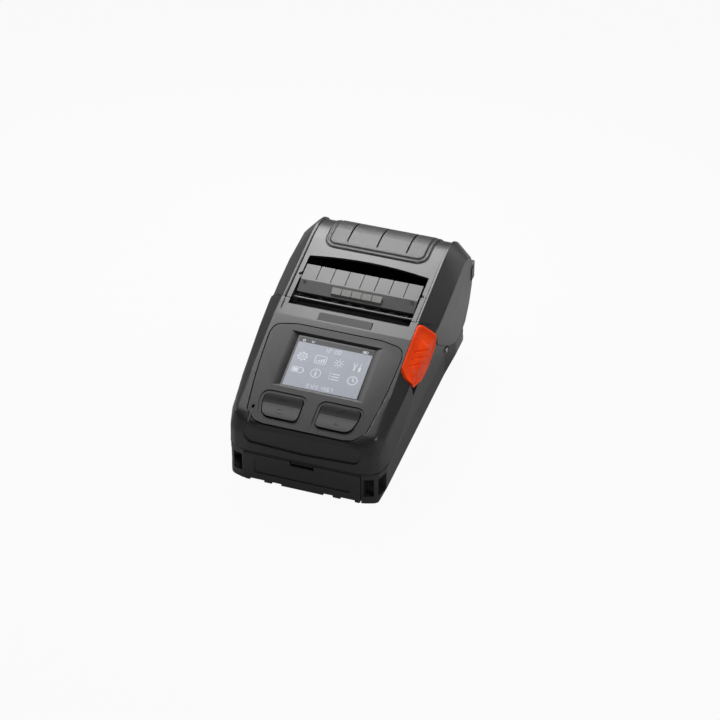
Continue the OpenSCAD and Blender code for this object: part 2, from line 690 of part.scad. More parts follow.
// Body of the grip pad along the cover's profile, from low to high about the band surface
module pad_form(low, high) {
  intersection() {
    prism(concat([for (a = [0, 1]) let (y = a == 0 ? pad_front - 10 : top_rear_y) [y, band_z(y) + high]],
      [for (a = crown_turns) rear_at(a, band_drop - high)], [for (a = [-12, -20]) rear_at(a, band_drop - high)],
      [for (a = [-20, -12]) rear_at(a, band_drop - low)], [for (i = [len(crown_turns) - 1:-1:0]) rear_at(crown_turns[i], band_drop - low)],
      [for (a = [1, 0]) let (y = a == 0 ? pad_front - 10 : top_rear_y) [y, band_z(y) + low]]), -pad_half, pad_half);
    linear_extrude(100) polygon(rounded(box_pts(-pad_half, pad_front, pad_half, far), [6, 6, 0, 0]));
  }
}
module grip_pad() {
  color(dark) difference() {
    pad_form(-0.45, 0.5);
    // Three shallow grooves across the crown
    for (x = [-16, 0, 16]) box(x - 0.35, pad_front + 5, crown_z + 10, x + 0.35, far, band_z(crown_y) + 30);
  }
}
lug_z = crown_z + 2;
module lug_form() {
  translate([39.4, rear_y - 5.6, lug_z - 8]) linear_extrude(8) polygon(rounded([[-3, -1], [4.4, -1], [4.4, 3.4],
    [3.4, 5.6 + lug_reach], [-3, 5.6 + lug_reach]], [0, 0, 1, 1, 1]));
}
module rear_lugs() {
  color(dark) both() difference() {
    lug_form();
    // Finger-nail notch under the lug's cap
    translate([39.4, rear_y - 0.6, lug_z - 6]) cube([6, 6, 3.6]);
  }
}

// Panel, display and keys

module control_panel() {
  color(charcoal) on_panel() difference() {
    union() {
      translate([0, 0, -panel_t]) linear_extrude(panel_t) polygon(rounded(panel_pts, panel_radii));
      // Tray behind the display opening
      translate([0, 0, -tray_depth]) linear_extrude(tray_depth - eps)
        polygon(rounded(box_pts(-26.8, bezel_s - 1.4, 26.8, bezel_s + bezel_length + 1.4), 1.5));
      // Rib round the keys, which carries their mat
      translate([0, 0, -mat_top]) linear_extrude(mat_top - eps) difference() {
        mat_outline(0);
        mat_outline(1.1);
      }
    }
    bezel_funnel();
    // Window, screen and module behind it
    translate([0, 0, -screen_depth - window_t - 0.1]) linear_extrude(window_t + 0.1)
      polygon(box_pts(-screen_half - 1.3, screen_s - 1.3, screen_half + 1.3, screen_s + screen_length + 1.3));
    translate([0, 0, -9]) linear_extrude(9) polygon(box_pts(-screen_half, screen_s, screen_half, screen_s + screen_length));
    translate([0, 0, -9]) linear_extrude(9 - screen_depth - window_t - 0.05)
      polygon(box_pts(-module_half - 0.2, screen_s - 3.4, module_half + 0.2, screen_s + screen_length + 1.4));
    // Key openings, each in a shallow dish
    both() {
      translate([0, 0, -9]) linear_extrude(20) key_outline(0, pad_s, pad_s + pad_length);
      translate([0, 0, -dish_depth]) linear_extrude(5) key_outline(dish_edge, pad_s - dish_edge, pad_s + pad_length + dish_edge);
    }
    // Slot of the light pipe
    translate([-pipe_x - pipe_t - pipe_fit, -60, -9]) cube([pipe_t + 2 * pipe_fit, 60 - 21.4, 20]);
  }
}
tray_depth = screen_depth + window_t + 2.4;
module_half = screen_half + 2.6;
// Sloping sides of the display opening, between the panel surface and the screen
module bezel_funnel() {
  hull() {
    linear_extrude(1) polygon(box_pts(-bezel_half, bezel_s, bezel_half, bezel_s + bezel_length));
    translate([0, 0, -screen_depth]) linear_extrude(eps)
      polygon(box_pts(-screen_half, screen_s, screen_half, screen_s + screen_length));
  }
}
// Outline of one key pad on the right, between s0 and s1, widened by g
module key_outline(g, s0, s1) {
  intersection() {
    polygon(rounded([[pad_x - g, pad_s - g], [pad_x + pad_width - 2 + g, pad_s - g], [pad_x + pad_width + g, pad_s + 9],
      [pad_x + pad_width + g, pad_s + pad_length + g], [pad_x - g, pad_s + pad_length + g]],
      [2.6 + g, 5 + g, 4, 2.6 + g, 2.6 + g]));
    polygon(box_pts(0, s0, 60, s1));
  }
}
split_s = pad_s + pad_length - upper_key;
key_low = panel_t + 1;
mat_top = key_low + key_travel + 0.6;
mat_t = 0.8;
module key_cap(s0, s1) {
  translate([0, 0, -key_low + 0.3]) linear_extrude(key_low - 0.2) intersection() {
    key_outline(-key_gap, s0, s1);
    polygon(box_pts(0, s0 + key_gap / 2, 60, s1 - key_gap / 2));
  }
  // Flange that keeps the key in, and the stem that presses the mat
  translate([0, 0, -key_low]) linear_extrude(key_low - panel_t - 0.3) polygon(box_pts(pad_x - 0.5, s0 + 0.6, pad_x + pad_width - 1.8, s1 - 0.6));
}
module key_left_upper() { color(dark) on_panel() mirror([1, 0, 0]) key_cap(split_s, pad_s + pad_length); }
module key_left_lower() { color(dark) on_panel() mirror([1, 0, 0]) key_cap(pad_s, split_s); }
module key_right_upper() { color(dark) on_panel() key_cap(split_s, pad_s + pad_length); }
module key_right_lower() { color(dark) on_panel() key_cap(pad_s, split_s); }
module mat_outline(g) {
  polygon(rounded(box_pts(-27.5 + g, pad_s - 0.9 + g, 27.5 - g, pad_s + pad_length + 0.9 - g), 1.6));
}
module key_mat() {
  color("#8a8a8a") on_panel() {
    translate([0, 0, -mat_top - mat_t]) linear_extrude(mat_t) mat_outline(0);
    for (x = [-1, 1], s = [split_s + upper_key / 2, pad_s + (pad_length - upper_key) / 2])
      translate([x * (pad_x + pad_width / 2), s, -mat_top - eps]) cylinder(h = 0.3, r = 1.8);
  }
}
module display_window() {
  color("#9fb2c4") on_panel() translate([0, 0, -screen_depth - window_t]) linear_extrude(window_t)
    polygon(box_pts(-screen_half - 1.2, screen_s - 1.2, screen_half + 1.2, screen_s + screen_length + 1.2));
}
module display_module() {
  color("#7f8fa3") on_panel() translate([0, 0, -screen_depth - window_t - 3.4]) linear_extrude(3.3)
    polygon(box_pts(-module_half, screen_s - 3.2, module_half, screen_s + screen_length + 1.2));
}
module nameplate() {
  color(dark) translate([0, plate_y, band_z(plate_y)]) rotate([cover_slope, 0, 0])
    translate([0, 0, -0.6]) linear_extrude(1.1) polygon(rounded(box_pts(-14.1, -2.6, 14.1, 2.6), 0.6));
}
pipe_x = 27.7;
pipe_t = 1.2;
pipe_fit = 0.1;
pipe_y = front_y + 1.6;
pipe_length = 7.4;
module light_pipe() {
  color("#d8dcdf") intersection() {
    box(-pipe_x - pipe_t, pipe_y + pipe_fit, rim_z(pipe_y) - 6, -pipe_x, pipe_y + pipe_length - pipe_fit, rim_z(pipe_y) + 10);
    difference() {
      front_solid(0.15);
      front_solid(4);
    }
  }
}

// Electronics

module main_board() {
  color(green) difference() {
    translate([0, 0, board_z]) linear_extrude(board_t) polygon(rounded(box_pts(-36, front_y + 12, 36, front_y + 56), 2));
    for (p = board_at) translate([p[0], p[1], 0]) cylinder(h = 60, r = 1.2);
    for (p = screw_at) translate([p[0], p[1], 0]) cylinder(h = 60, r = 3.4);
  }
  // Processor, radio can and flat-cable connectors
  color("#2a2a2c") {
    box(-12, front_y + 24, board_z + board_t, 2, front_y + 38, board_z + board_t + 1.2);
    box(10, front_y + 42, board_z + board_t, 28, front_y + 47, board_z + board_t + 2.4);
  }
  color(steel) box(8, front_y + 20, board_z + board_t, 24, front_y + 34, board_z + board_t + 2.2);
}
module interface_sockets() {
  z0 = board_z + board_t;
  color(steel) {
    // Data socket
    difference() {
      translate([-38.3, port_y0 + 5, z0 + 0.3]) cube([7.3, 9, 3.4]);
      translate([-39, port_y0 + 5.6, z0 + 0.8]) cube([6.4, 7.8, 2.4]);
    }
    box(-38.3, port_y0 + 5, z0, -31, port_y0 + 14, z0 + 0.3);
  }
  color(dark) difference() {
    translate([-38.3, port_y0 + 16, z0]) cube([9, 5.8, 6]);
    translate([-39, port_y0 + 18.9, z0 + 3]) rotate([0, 90, 0]) cylinder(h = 7, r = 1.7);
  }
}
module port_cover() {
  color(dark) {
    intersection() {
      difference() {
        front_solid(0.15);
        front_solid(1.7);
      }
      box(-far, port_y0, port_z0, -30, port_y1, port_z1);
    }
    // Plug rib on the inner side
    intersection() {
      front_solid(1);
      difference() {
        box(-far, port_y0 + 3, port_z0 + 2.2, -38.6, port_y1 - 3.5, port_z1 - 2.2);
        box(-far, port_y0 + 4, port_z0 + 3.2, -30, port_y1 - 4.5, port_z1 - 3.2);
      }
    }
  }
}
module board_screws() {
  color(steel) for (p = board_at) translate([p[0], p[1], board_z + board_t]) {
    cylinder(h = 1, r = 1.9);
    translate([0, 0, -board_t]) cylinder(h = board_t + 0.5, r = 1.1);
  }
}

// Inner frame, print head and drive

plate_pts = [[frame_front + 0.8, frame_low], [frame_front + 0.8, 30], [frame_front - 1, 34], [frame_front - 1, latch_z - 6],
  [latch_y - 4, latch_z + 3], [platen_y - 10, platen_z + 4.2], [platen_y + 6, platen_z + 3.6],
  [roll_y - 19, roll_z + 4], [roll_y + 12, roll_z - 15], [roll_y + 12, 14], [roll_y + 4, frame_low]];
module inner_frame() {
  color("#4a4a4d") difference() {
    union() {
      both() prism(plate_pts, plate_x, plate_x + plate_t);
      // Cradle round the lower half of the roll
      intersection() {
        tube(roll_y, roll_z, cradle_r + 1.4, cradle_r, -plate_x - eps, plate_x + eps);
        prism([[roll_y, roll_z], [roll_y - 60, roll_z + 8], [roll_y - 60, 0], [roll_y + 34, 0]], -far, far);
      }
      // Front cross wall
      box(-plate_x - eps, frame_front + 0.8, frame_low, plate_x + eps, frame_front + 2.2, 17);
    }
    // Way out for the platen shaft, along the cover's path
    way = atan2(platen_z - hinge_z, platen_y - hinge_y) - 180;
    translate([0, platen_y, platen_z]) rotate([way, 0, 0]) translate([-far, -shaft_r - 0.4, 0])
      cube([2 * far, 2 * shaft_r + 1.4, 30]);
    rod(platen_y, platen_z, shaft_r + 0.45, -far, far);
    // Latch shaft, head pivot and motor shaft
    rod(latch_y, latch_z, latch_r + running_fit, -far, far);
    rod(head_face - ceramic_t - sink_t / 2, head_pivot_z, 1.05, -far, far);
    rod(motor_at[0], motor_at[1], 1.6, -far, 0);
    rod(idler_at[0], idler_at[1], 1.22, -far, 0);
    // Slots for the media guides
    both() box(guide_x - 0.5, roll_y - 7.2, 0, guide_x + guide_t + guide_travel + 0.5, roll_y + 7.2, roll_z - cradle_r + 4);
    // Room for the round lower edge of the cover
    rod(hinge_y, hinge_z, barrel_r + 0.5, -far, far);
    // Window for the label sensor
    box(-6.2, roll_y - 40, sensor_z - 3.2, 6.2, roll_y - 20, sensor_z + 3.2);
  }
}
module tear_bar() {
  n = tear_teeth;
  w = opening_half - 0.2;
  step = 2 * w / n;
  color("#1a1a1b") translate([0, 0, tear_z]) linear_extrude(tear_t) polygon(concat(
    [[w, opening_y - 1.6], [-w, opening_y - 1.6]],
    [for (i = [0:n - 1]) each [[-w + i * step, opening_y + 0.9], [-w + (i + 0.5) * step, opening_y + 1.8]]],
    [[w, opening_y + 0.9]]));
}
module peel_bar() {
  color(steel) rod(peel_y, peel_z, peel_r, -arm_out + 0.6, arm_out - 0.6);
}
module head_ceramic() {
  color("#3d3a38") box(-head_half + 1, head_face - ceramic_t, head_low + 4, head_half - 1, head_face, head_top);
}
module head_heat_sink() {
  y0 = head_face - ceramic_t - sink_t;
  color(steel) {
    difference() {
      box(-head_half, y0, head_low, head_half, head_face - ceramic_t, head_top - 0.4);
      for (i = [-4:4]) box(i * 6.4 - 1, y0 - 1, head_low + 5, i * 6.4 + 1, y0 + 1.6, head_top);
    }
    both() rod(y0 + sink_t / 2, head_pivot_z, 1, head_half - 1, plate_x + 1.2);
  }
}
module head_bracket() {
  color(steel) {
    box(-arm_out, bracket_y, head_low + 2, arm_out, bracket_y + bracket_t, head_top);
    // Feet on the side plates, below the hooks
    both() box(arm_out - 1, bracket_y, head_low + 2, plate_x, bracket_y + bracket_t, head_low + 7);
    both() box(plate_x - 1.4, bracket_y - 3, head_low + 2, plate_x, bracket_y + eps, head_low + 7);
  }
}
module head_springs() {
  color(steel) both() translate([18, bracket_y + bracket_t, platen_z]) rotate([-90, 0, 0]) difference() {
    cylinder(h = head_face - ceramic_t - sink_t - bracket_y - bracket_t, r = 2.4);
    translate([0, 0, -1]) cylinder(h = 20, r = 1.8);
  }
}
module platen_sleeve() {
  color("#202022") tube(platen_y, platen_z, platen_r, shaft_r, -platen_half, platen_half);
}
module platen_shaft() {
  color(steel) rod(platen_y, platen_z, shaft_r, -gear_x - gear_face, plate_x + plate_t);
}
module platen_bushes() {
  color("#c9c4b4") both() tube(platen_y, platen_z, bush_r, shaft_r + running_fit, platen_half + 0.4, arm_out);
}
module platen_gear() {
  color("#d9d9d4") gear([platen_y, platen_z], platen_teeth, idler_way, shaft_r, -gear_x - gear_face);
}
module idler_gear() {
  color("#d9d9d4") gear(idler_at, idler_teeth, idler_phase, 1.2 + running_fit, -gear_x - gear_face);
}
module idler_post() {
  color(steel) {
    rod(idler_at[0], idler_at[1], 1.2, -gear_x - gear_face - 0.4, -plate_x + 1);
    rod(idler_at[0], idler_at[1], 2, -gear_x - gear_face - 0.9, -gear_x - gear_face - 0.3);
  }
}
module motor_pinion() {
  color("#c9a24a") {
    gear(motor_at, motor_teeth, motor_phase, 0.9, -gear_x - gear_face);
    rod(motor_at[0], motor_at[1], 0.9, -gear_x - gear_face, -plate_x + 0.3);
  }
}
module stepper_motor() {
  color("#9b9da1") difference() {
    union() {
      rod(motor_at[0], motor_at[1], motor_r, -plate_x + 0.05, -plate_x + 15);
      prism(rounded(box_pts(motor_at[0] - motor_r - 2.4, motor_at[1] - 3, motor_at[0] + motor_r + 2.4, motor_at[1] + 3), 2.9),
        -plate_x + 0.05, -plate_x + 0.9);
    }
    rod(motor_at[0], motor_at[1], 0.9 + running_fit, -plate_x - 1, -plate_x + 1);
  }
}
sensor_z = roll_z - 6;
sensor_y = roll_y - cradle_r + 0.2;
module label_sensor() {
  color(dark) {
    box(-6, sensor_y - 2, sensor_z - 3, 6, sensor_y, sensor_z + 3);
    both() box(4, sensor_y - 2.6, sensor_z - 3, 8, sensor_y - 1.7, sensor_z + 3);
  }
}

// Media guides

function rack_pts(n) = [for (i = [0:n - 1]) each [[(i - 0.25) * rack_pitch - 0.28, 0], [(i - 0.25) * rack_pitch + 0.34, 1.5],
  [(i + 0.25) * rack_pitch - 0.34, 1.5], [(i + 0.25) * rack_pitch + 0.28, 0]]];
// One media guide on the right, with its rack on the side of the pinion given by s
module guide(s) {
  difference() {
    union() {
      prism(rounded([[roll_y - 6, rack_z], [roll_y + 6, rack_z], [roll_y + 9, roll_z], [roll_y + 9, roll_z + 9],
        [roll_y - 9, roll_z + 9], [roll_y - 9, roll_z]], [0, 0, 6, 8, 8, 6]), guide_x, guide_x + guide_t);
      rod(roll_y, roll_z, hub_r, guide_x - 4, guide_x + eps);
    }
    rod(roll_y, roll_z, 3.4, guide_x - 3.2, guide_x + guide_t + 1);
  }
  // Rack that runs to the pinion
  translate([0, roll_y, rack_z]) mirror([0, s < 0 ? 1 : 0, 0]) {
    translate([rack_start - 1.4, rack_r + 0.95, 0]) cube([guide_x - rack_start + 1.4 + eps, 2.2, rack_t]);
    translate([rack_start, 0, 0]) linear_extrude(rack_t) translate([0, rack_r + 0.96]) mirror([0, 1])
      polygon(concat([[-1.4, -0.5]], rack_pts(rack_count), [[rack_count * rack_pitch - 1, -0.5]]));
  }
  // Foot that joins the rack to the guide
  translate([guide_x - 2, roll_y, rack_z]) mirror([0, s < 0 ? 1 : 0, 0]) cube([2 + guide_t, rack_r + 3.15, rack_t]);
}
rack_start = -2 * rack_pitch;
rack_count = 4;
module guide_right() {
  color("#3a3a3c") guide(1);
}
module guide_left() {
  color("#3a3a3c") mirror([1, 0, 0]) guide(-1);
}
module guide_pinion() {
  color("#d9d9d4") translate([0, roll_y, rack_z]) difference() {
    rotate([0, 0, 90 + 180 / rack_teeth]) linear_extrude(rack_t) polygon(gear_pts(rack_teeth, rack_module));
    translate([0, 0, -1]) cylinder(h = rack_t + 2, r = 1.5 + running_fit);
  }
}

// Peeler flap

flap_pin_r = 1.3;
flap_y = opening_y + 20.4;
flap_z = band_z(flap_y) - 2.5;
flap_bend = [opening_y + 17, band_z(opening_y + 17) + 0.1];
flap_back = flap_bend + flap_top * [cos(cover_slope + 1), sin(cover_slope + 1)];
lip_turn = 28;
flap_front = flap_bend - flap_lip * [cos(lip_turn), sin(lip_turn)];
module peeler_flap() {
  color(light_grey) difference() {
    union() {
      prism([flap_back, flap_bend, flap_front, flap_front + [0.5, -flap_t], flap_bend + [0.2, -flap_t],
        flap_back + [0.3, -flap_t]], -flap_half, flap_half);
      // Rib that carries the pins, and cheeks that carry the roller
      prism([[flap_y - 1.6, flap_z - 1], [flap_y + 1.6, flap_z - 1], [flap_y + 1.9, flap_z + 2.2], [flap_y - 1.9, flap_z + 1.6]],
        -flap_half, flap_half);
      both() rod(flap_y, flap_z, flap_pin_r, flap_half - 1, opening_half + 1.9);
      both() prism([flap_front + [1.2, 0], flap_front + [0.9, -3.6], flap_front + [4.2, -3.6], flap_bend + [-1, 0]],
        flap_half - 3.4, flap_half - 1.6);
    }
    // Grooves between the raised bars
    for (i = [1:flap_bars - 1]) let (x = -flap_half + 2 * flap_half * i / flap_bars)
      prism([flap_bend + [0.8, -0.35], flap_bend + [0.8, 3], flap_back + [1, 3], flap_back + [1, -0.35]], x - 0.25, x + 0.25);
    both() rod(roller_at[0], roller_at[1], 0.8, flap_half - 5, flap_half);
  }
}
roller_at = flap_front + [2.4, -2.6];
module flap_tab() {
  color("#8b8b8e") for (i = [0:4]) {
    x0 = -13.4 + i * 5.36;
    prism([flap_bend + [-2.2, -1], flap_bend + [-2.2, 0.1], flap_bend + [-5.4, -1.6], flap_bend + [-5.4, -2.7]], x0 + 0.15, x0 + 5.21);
  }
}
module peel_roller() {
  color(dark) {
    rod(roller_at[0], roller_at[1], 0.75, -flap_half + 1.7, flap_half - 1.7);
    for (i = [-3:3]) rod(roller_at[0], roller_at[1], 1.3, i * 7.6 - 2.4, i * 7.6 + 2.4);
  }
}

// Release lever and latch

module lever_pocket() {
  for (a = [0, lever_turn / 2, lever_turn]) translate([lever_top_half - lever_gap, latch_y, latch_z]) rotate([90, 0, 90])
    linear_extrude(60) rotate([0, 0, a]) offset(delta = lever_gap) polygon(rounded(lever_pts, lever_radii));
  // Dark notch below the lever's tip
  translate([lever_top_half - lever_gap, latch_y, latch_z]) rotate([90, 0, 90]) linear_extrude(60)
    polygon([[-22, -6.4], [-14, -9], [-15, -11], [-20.2, -13]]);
}
module release_lever() {
  color(orange) {
    intersection() {
      difference() {
        front_solid(-lever_proud);
        front_solid(lever_depth);
      }
      translate([0, latch_y, latch_z]) prism(rounded(lever_pts, lever_radii), lever_top_half, 60);
    }
    // Hub on the latch shaft and the web out to the lever
    difference() {
      rod(latch_y, latch_z, latch_r + 1.6, plate_x + plate_t + 0.3, half_w - 4.4);
      rod(latch_y, latch_z, latch_r, 0, half_w - 6.4);
    }
  }
}
module latch_shaft() {
  color(steel) {
    rod(latch_y, latch_z, latch_r, -plate_x - plate_t - 0.5, half_w - 6.4);
    // Hooks beside the platen arms
    both() prism(rounded([[latch_y - 2.6, latch_z - 2.2], [latch_y + 2, latch_z - 2.8], [head_face - 2, latch_z - 2.6],
      [platen_y - 3, platen_z - 4.4], [platen_y - 2.6, platen_z + 2.4], [head_face - 1, platen_z + 3.4],
      [latch_y - 2.6, latch_z + 2.6]], 0.8), arm_out + 0.4, plate_x - 0.4);
  }
}
module latch_spring() {
  color(steel) tube(latch_y, latch_z, latch_r + 1.2, latch_r + 0.3, 22, 30);
}

// Strap pins, hinge pin and screws

strap_at = seam_line[4] + [0.4, -3];
strap_r = 1.6;
strap_length = 5.6;
module strap_pins() {
  color(steel) both() rod(strap_at[0], strap_at[1], strap_r, flare_half - 0.5 - strap_length, flare_half - 0.5);
}
module strap_seat() {
  rod(strap_at[0], strap_at[1], strap_r + 0.02, 0, far);
  rod(strap_at[0], strap_at[1], strap_r + 0.8, parting_half + 0.2, far);
  prism([strap_at + [3.4, 1.2], strap_at + [8, -1.4], strap_at + [5.2, -5.2]], parting_half - 0.6, far);
}
module hinge_pin() {
  color(steel) rod(hinge_y, hinge_z, pin_r, -knuckle_out, knuckle_out);
}
module housing_screws() {
  color(steel) for (p = screw_at) translate([p[0], p[1], 3.6]) {
    translate([0, 0, -1.6]) cylinder(h = 1.6, r = 2.3);
    cylinder(h = parting_z + 3.4, r = 1);
  }
}

// Battery

module battery_pack() {
  y0 = battery_face_y;
  color(charcoal) {
    difference() {
      union() {
        box(-battery_half, y0 + 3, battery_low, battery_half, y0 + battery_length, battery_high);
        // Face plate with its recessed field
        difference() {
          front_prism(rounded(box_pts(-battery_half, 0.35, battery_half, battery_high), [1, 1, 0.6, 0.6]), y0, y0 + 3.02);
          front_prism(rounded(box_pts(-battery_field, 5.4, battery_field, 14.2), 1.6), y0 - 1, y0 + 0.5);
          // Notches in the lower lip
          both() for (x = [11, 20]) box(x, y0 - 1, -1, x + (x < 15 ? 5 : 7.5), y0 + 1.2, 1.6);
        }
      }
      // Slot for the latch's finger edge, with the pocket behind it
      box(-latch_half - latch_room, y0 - 1, latch_low - battery_latch_travel - 0.3, latch_half + latch_room, y0 + 1.2, battery_high + 1);
      box(-latch_half - 2 * latch_room, y0 + 1.1, latch_low - latch_skirt - battery_latch_travel - latch_room,
        latch_half + 2 * latch_room, y0 + 3.1, battery_high + 1);
      // Terminals
      for (x = [-9, -3, 3, 9]) box(x - 1, y0 + battery_length - 1.2, 6, x + 1, y0 + battery_length + 1, 12);
    }
  }
  color("#c9a24a") for (x = [-9, -3, 3, 9])
    box(x - 1, battery_face_y + battery_length - 1.2, 6, x + 1, battery_face_y + battery_length - 0.7, 12);
}
latch_room = 0.4;
latch_low = battery_high - 1.2;
latch_skirt = 1.8;
module battery_latch() {
  y0 = battery_face_y;
  color(dark) {
    front_prism(box_pts(-latch_half, latch_low, latch_half, battery_high - 0.1), y0 + 0.3, y0 + 1.6);
    front_prism(rounded(box_pts(-latch_half - latch_room, latch_low - latch_skirt, latch_half + latch_room, battery_high - 0.1),
      [1, 1, 0, 0]), y0 + 1.55, y0 + 2.6);
  }
}
module battery_contacts() {
  y1 = bay_rear;
  color("#c9a24a") for (x = [-9, -3, 3, 9]) {
    box(x - 0.7, y1 - 0.3, 7, x + 0.7, y1, 11);
  }
  color(dark) box(-12, y1 + 1.6, 7, 12, y1 + 2.7, 12);
}

// Belt clip

module belt_clip() {
  y0 = clip_y - 7.4;
  color("#2b2b2d") difference() {
    union() {
      linear_extrude(clip_room - 0.05) polygon(rounded(box_pts(-clip_half, y0, clip_half, y0 + 11), 1.6));
      translate([0, 0, 0.4]) linear_extrude(1.8) polygon(rounded(box_pts(-clip_half, y0 + 2, clip_half, y0 + 44.6), 2));
      box(-clip_half + 2, y0 + 40, 0.5, clip_half - 2, y0 + 43, 3.6);
    }
    for (y = clip_screw_y) translate([0, y, -1]) {
      cylinder(h = 9, r = 1.1);
      cylinder(h = 3, r = 2.2);
    }
  }
}
module belt_clip_screws() {
  color(steel) for (y = clip_screw_y) translate([0, y, 0.9]) {
    cylinder(h = 1.1, r = 2);
    cylinder(h = 5, r = 0.9);
  }
}

base_housing();
front_housing();
rear_cover();
grip_pad();
rear_lugs();
control_panel();
display_window();
display_module();
nameplate();
light_pipe();
key_left_upper();
key_left_lower();
key_right_upper();
key_right_lower();
key_mat();
main_board();
interface_sockets();
port_cover();
inner_frame();
tear_bar();
peel_bar();
head_ceramic();
head_heat_sink();
head_bracket();
head_springs();
platen_sleeve();
platen_shaft();
platen_bushes();
platen_gear();
idler_gear();
idler_post();
stepper_motor();
motor_pinion();
label_sensor();
guide_left();
guide_right();
guide_pinion();
peeler_flap();
flap_tab();
peel_roller();
release_lever();
latch_shaft();
latch_spring();
strap_pins();
hinge_pin();
battery_pack();
battery_latch();
battery_contacts();
board_screws();
housing_screws();
belt_clip();
belt_clip_screws();
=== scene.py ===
"""Looks of a portable label printer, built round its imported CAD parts.

Every sub-assembly of the printer is a class. It holds its sizes in millimetres, builds its own
meshes and gives them their finishes. Lengths become metres where a mesh is made.
"""

from __future__ import annotations

import json
import logging
import math
from collections.abc import Callable, Iterable, Mapping, Sequence
from dataclasses import dataclass, field
from enum import Enum
from typing import Any, ClassVar

import bmesh
import bpy
from mathutils import Matrix, Vector
from mathutils.bvhtree import BVHTree
from mathutils.kdtree import KDTree

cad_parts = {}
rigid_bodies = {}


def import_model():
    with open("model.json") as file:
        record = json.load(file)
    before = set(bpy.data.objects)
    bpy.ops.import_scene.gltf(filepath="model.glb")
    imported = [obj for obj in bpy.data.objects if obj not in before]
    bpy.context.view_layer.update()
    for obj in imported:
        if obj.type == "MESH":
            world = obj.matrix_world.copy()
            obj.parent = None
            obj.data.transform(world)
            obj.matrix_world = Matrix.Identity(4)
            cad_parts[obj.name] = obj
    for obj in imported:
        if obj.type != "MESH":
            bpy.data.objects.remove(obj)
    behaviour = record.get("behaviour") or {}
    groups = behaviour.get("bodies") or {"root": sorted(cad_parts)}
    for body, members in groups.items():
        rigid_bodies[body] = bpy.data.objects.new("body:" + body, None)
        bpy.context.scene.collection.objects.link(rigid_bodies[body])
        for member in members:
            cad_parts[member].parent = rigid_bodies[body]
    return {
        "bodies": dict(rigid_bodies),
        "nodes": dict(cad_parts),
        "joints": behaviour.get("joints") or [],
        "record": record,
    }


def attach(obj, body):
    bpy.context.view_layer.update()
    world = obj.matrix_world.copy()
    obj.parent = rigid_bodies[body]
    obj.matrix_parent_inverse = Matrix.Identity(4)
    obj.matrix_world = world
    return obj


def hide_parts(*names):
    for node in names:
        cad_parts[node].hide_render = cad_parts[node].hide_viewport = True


log = logging.getLogger("label_printer")

MM = 0.001
WHITE = (1.0, 1.0, 1.0, 1.0)
Point = tuple[float, float]
Triple = tuple[float, float, float]
Lift = Callable[[float], float]
BMesh = bmesh.types.BMesh
BMFace = bmesh.types.BMFace
NodeTree = bpy.types.NodeTree
Socket = bpy.types.NodeSocket


# Finishes


def linear(colour: str) -> tuple[float, float, float, float]:
    """Turn an sRGB colour into the linear colour that a shader takes.

    Args:
        colour: The colour as "#rrggbb".

    Returns:
        Red, green, blue and alpha, each from 0 to 1.
    """
    parts = [int(colour[i : i + 2], 16) / 255 for i in (1, 3, 5)]
    low = [c / 12.92 if c <= 0.04045 else ((c + 0.055) / 1.055) ** 2.4 for c in parts]
    return (low[0], low[1], low[2], 1.0)


def add_node(
    tree: NodeTree,
    kind: str,
    settings: Mapping[str | int, Any] | None = None,
    links: Mapping[str | int, Socket] | None = None,
) -> bpy.types.Node:
    """Add a node, set what is given on it and link its inputs.

    Args:
        tree: The node tree of a material or world.
        kind: Blender's name of the node type.
        settings: Values by the name or number of an input socket, or by the name of a property.
        links: Output sockets by the name or number of the input that each feeds.

    Returns:
        The new node.
    """
    node = tree.nodes.new(kind)
    for name, value in (settings or {}).items():
        if isinstance(name, int) or name in node.inputs:
            node.inputs[name].default_value = value
        else:
            setattr(node, name, value)
    for name, source in (links or {}).items():
        tree.links.new(source, node.inputs[name])
    return node


def bare_tree(owner: bpy.types.Material | bpy.types.World) -> NodeTree:
    """Empty the node tree of a new material or world.

    Args:
        owner: The material or world.

    Returns:
        Its node tree.
    """
    owner.use_nodes = True
    owner.node_tree.nodes.clear()
    return owner.node_tree


class Grain(Enum):
    """How the surface of a finish was made."""

    SPARKED = "spark-eroded mould"
    LEATHER = "leather-grained mould"
    BRUSHED = "bare metal, brushed along its length"
    POLISHED = "polished"


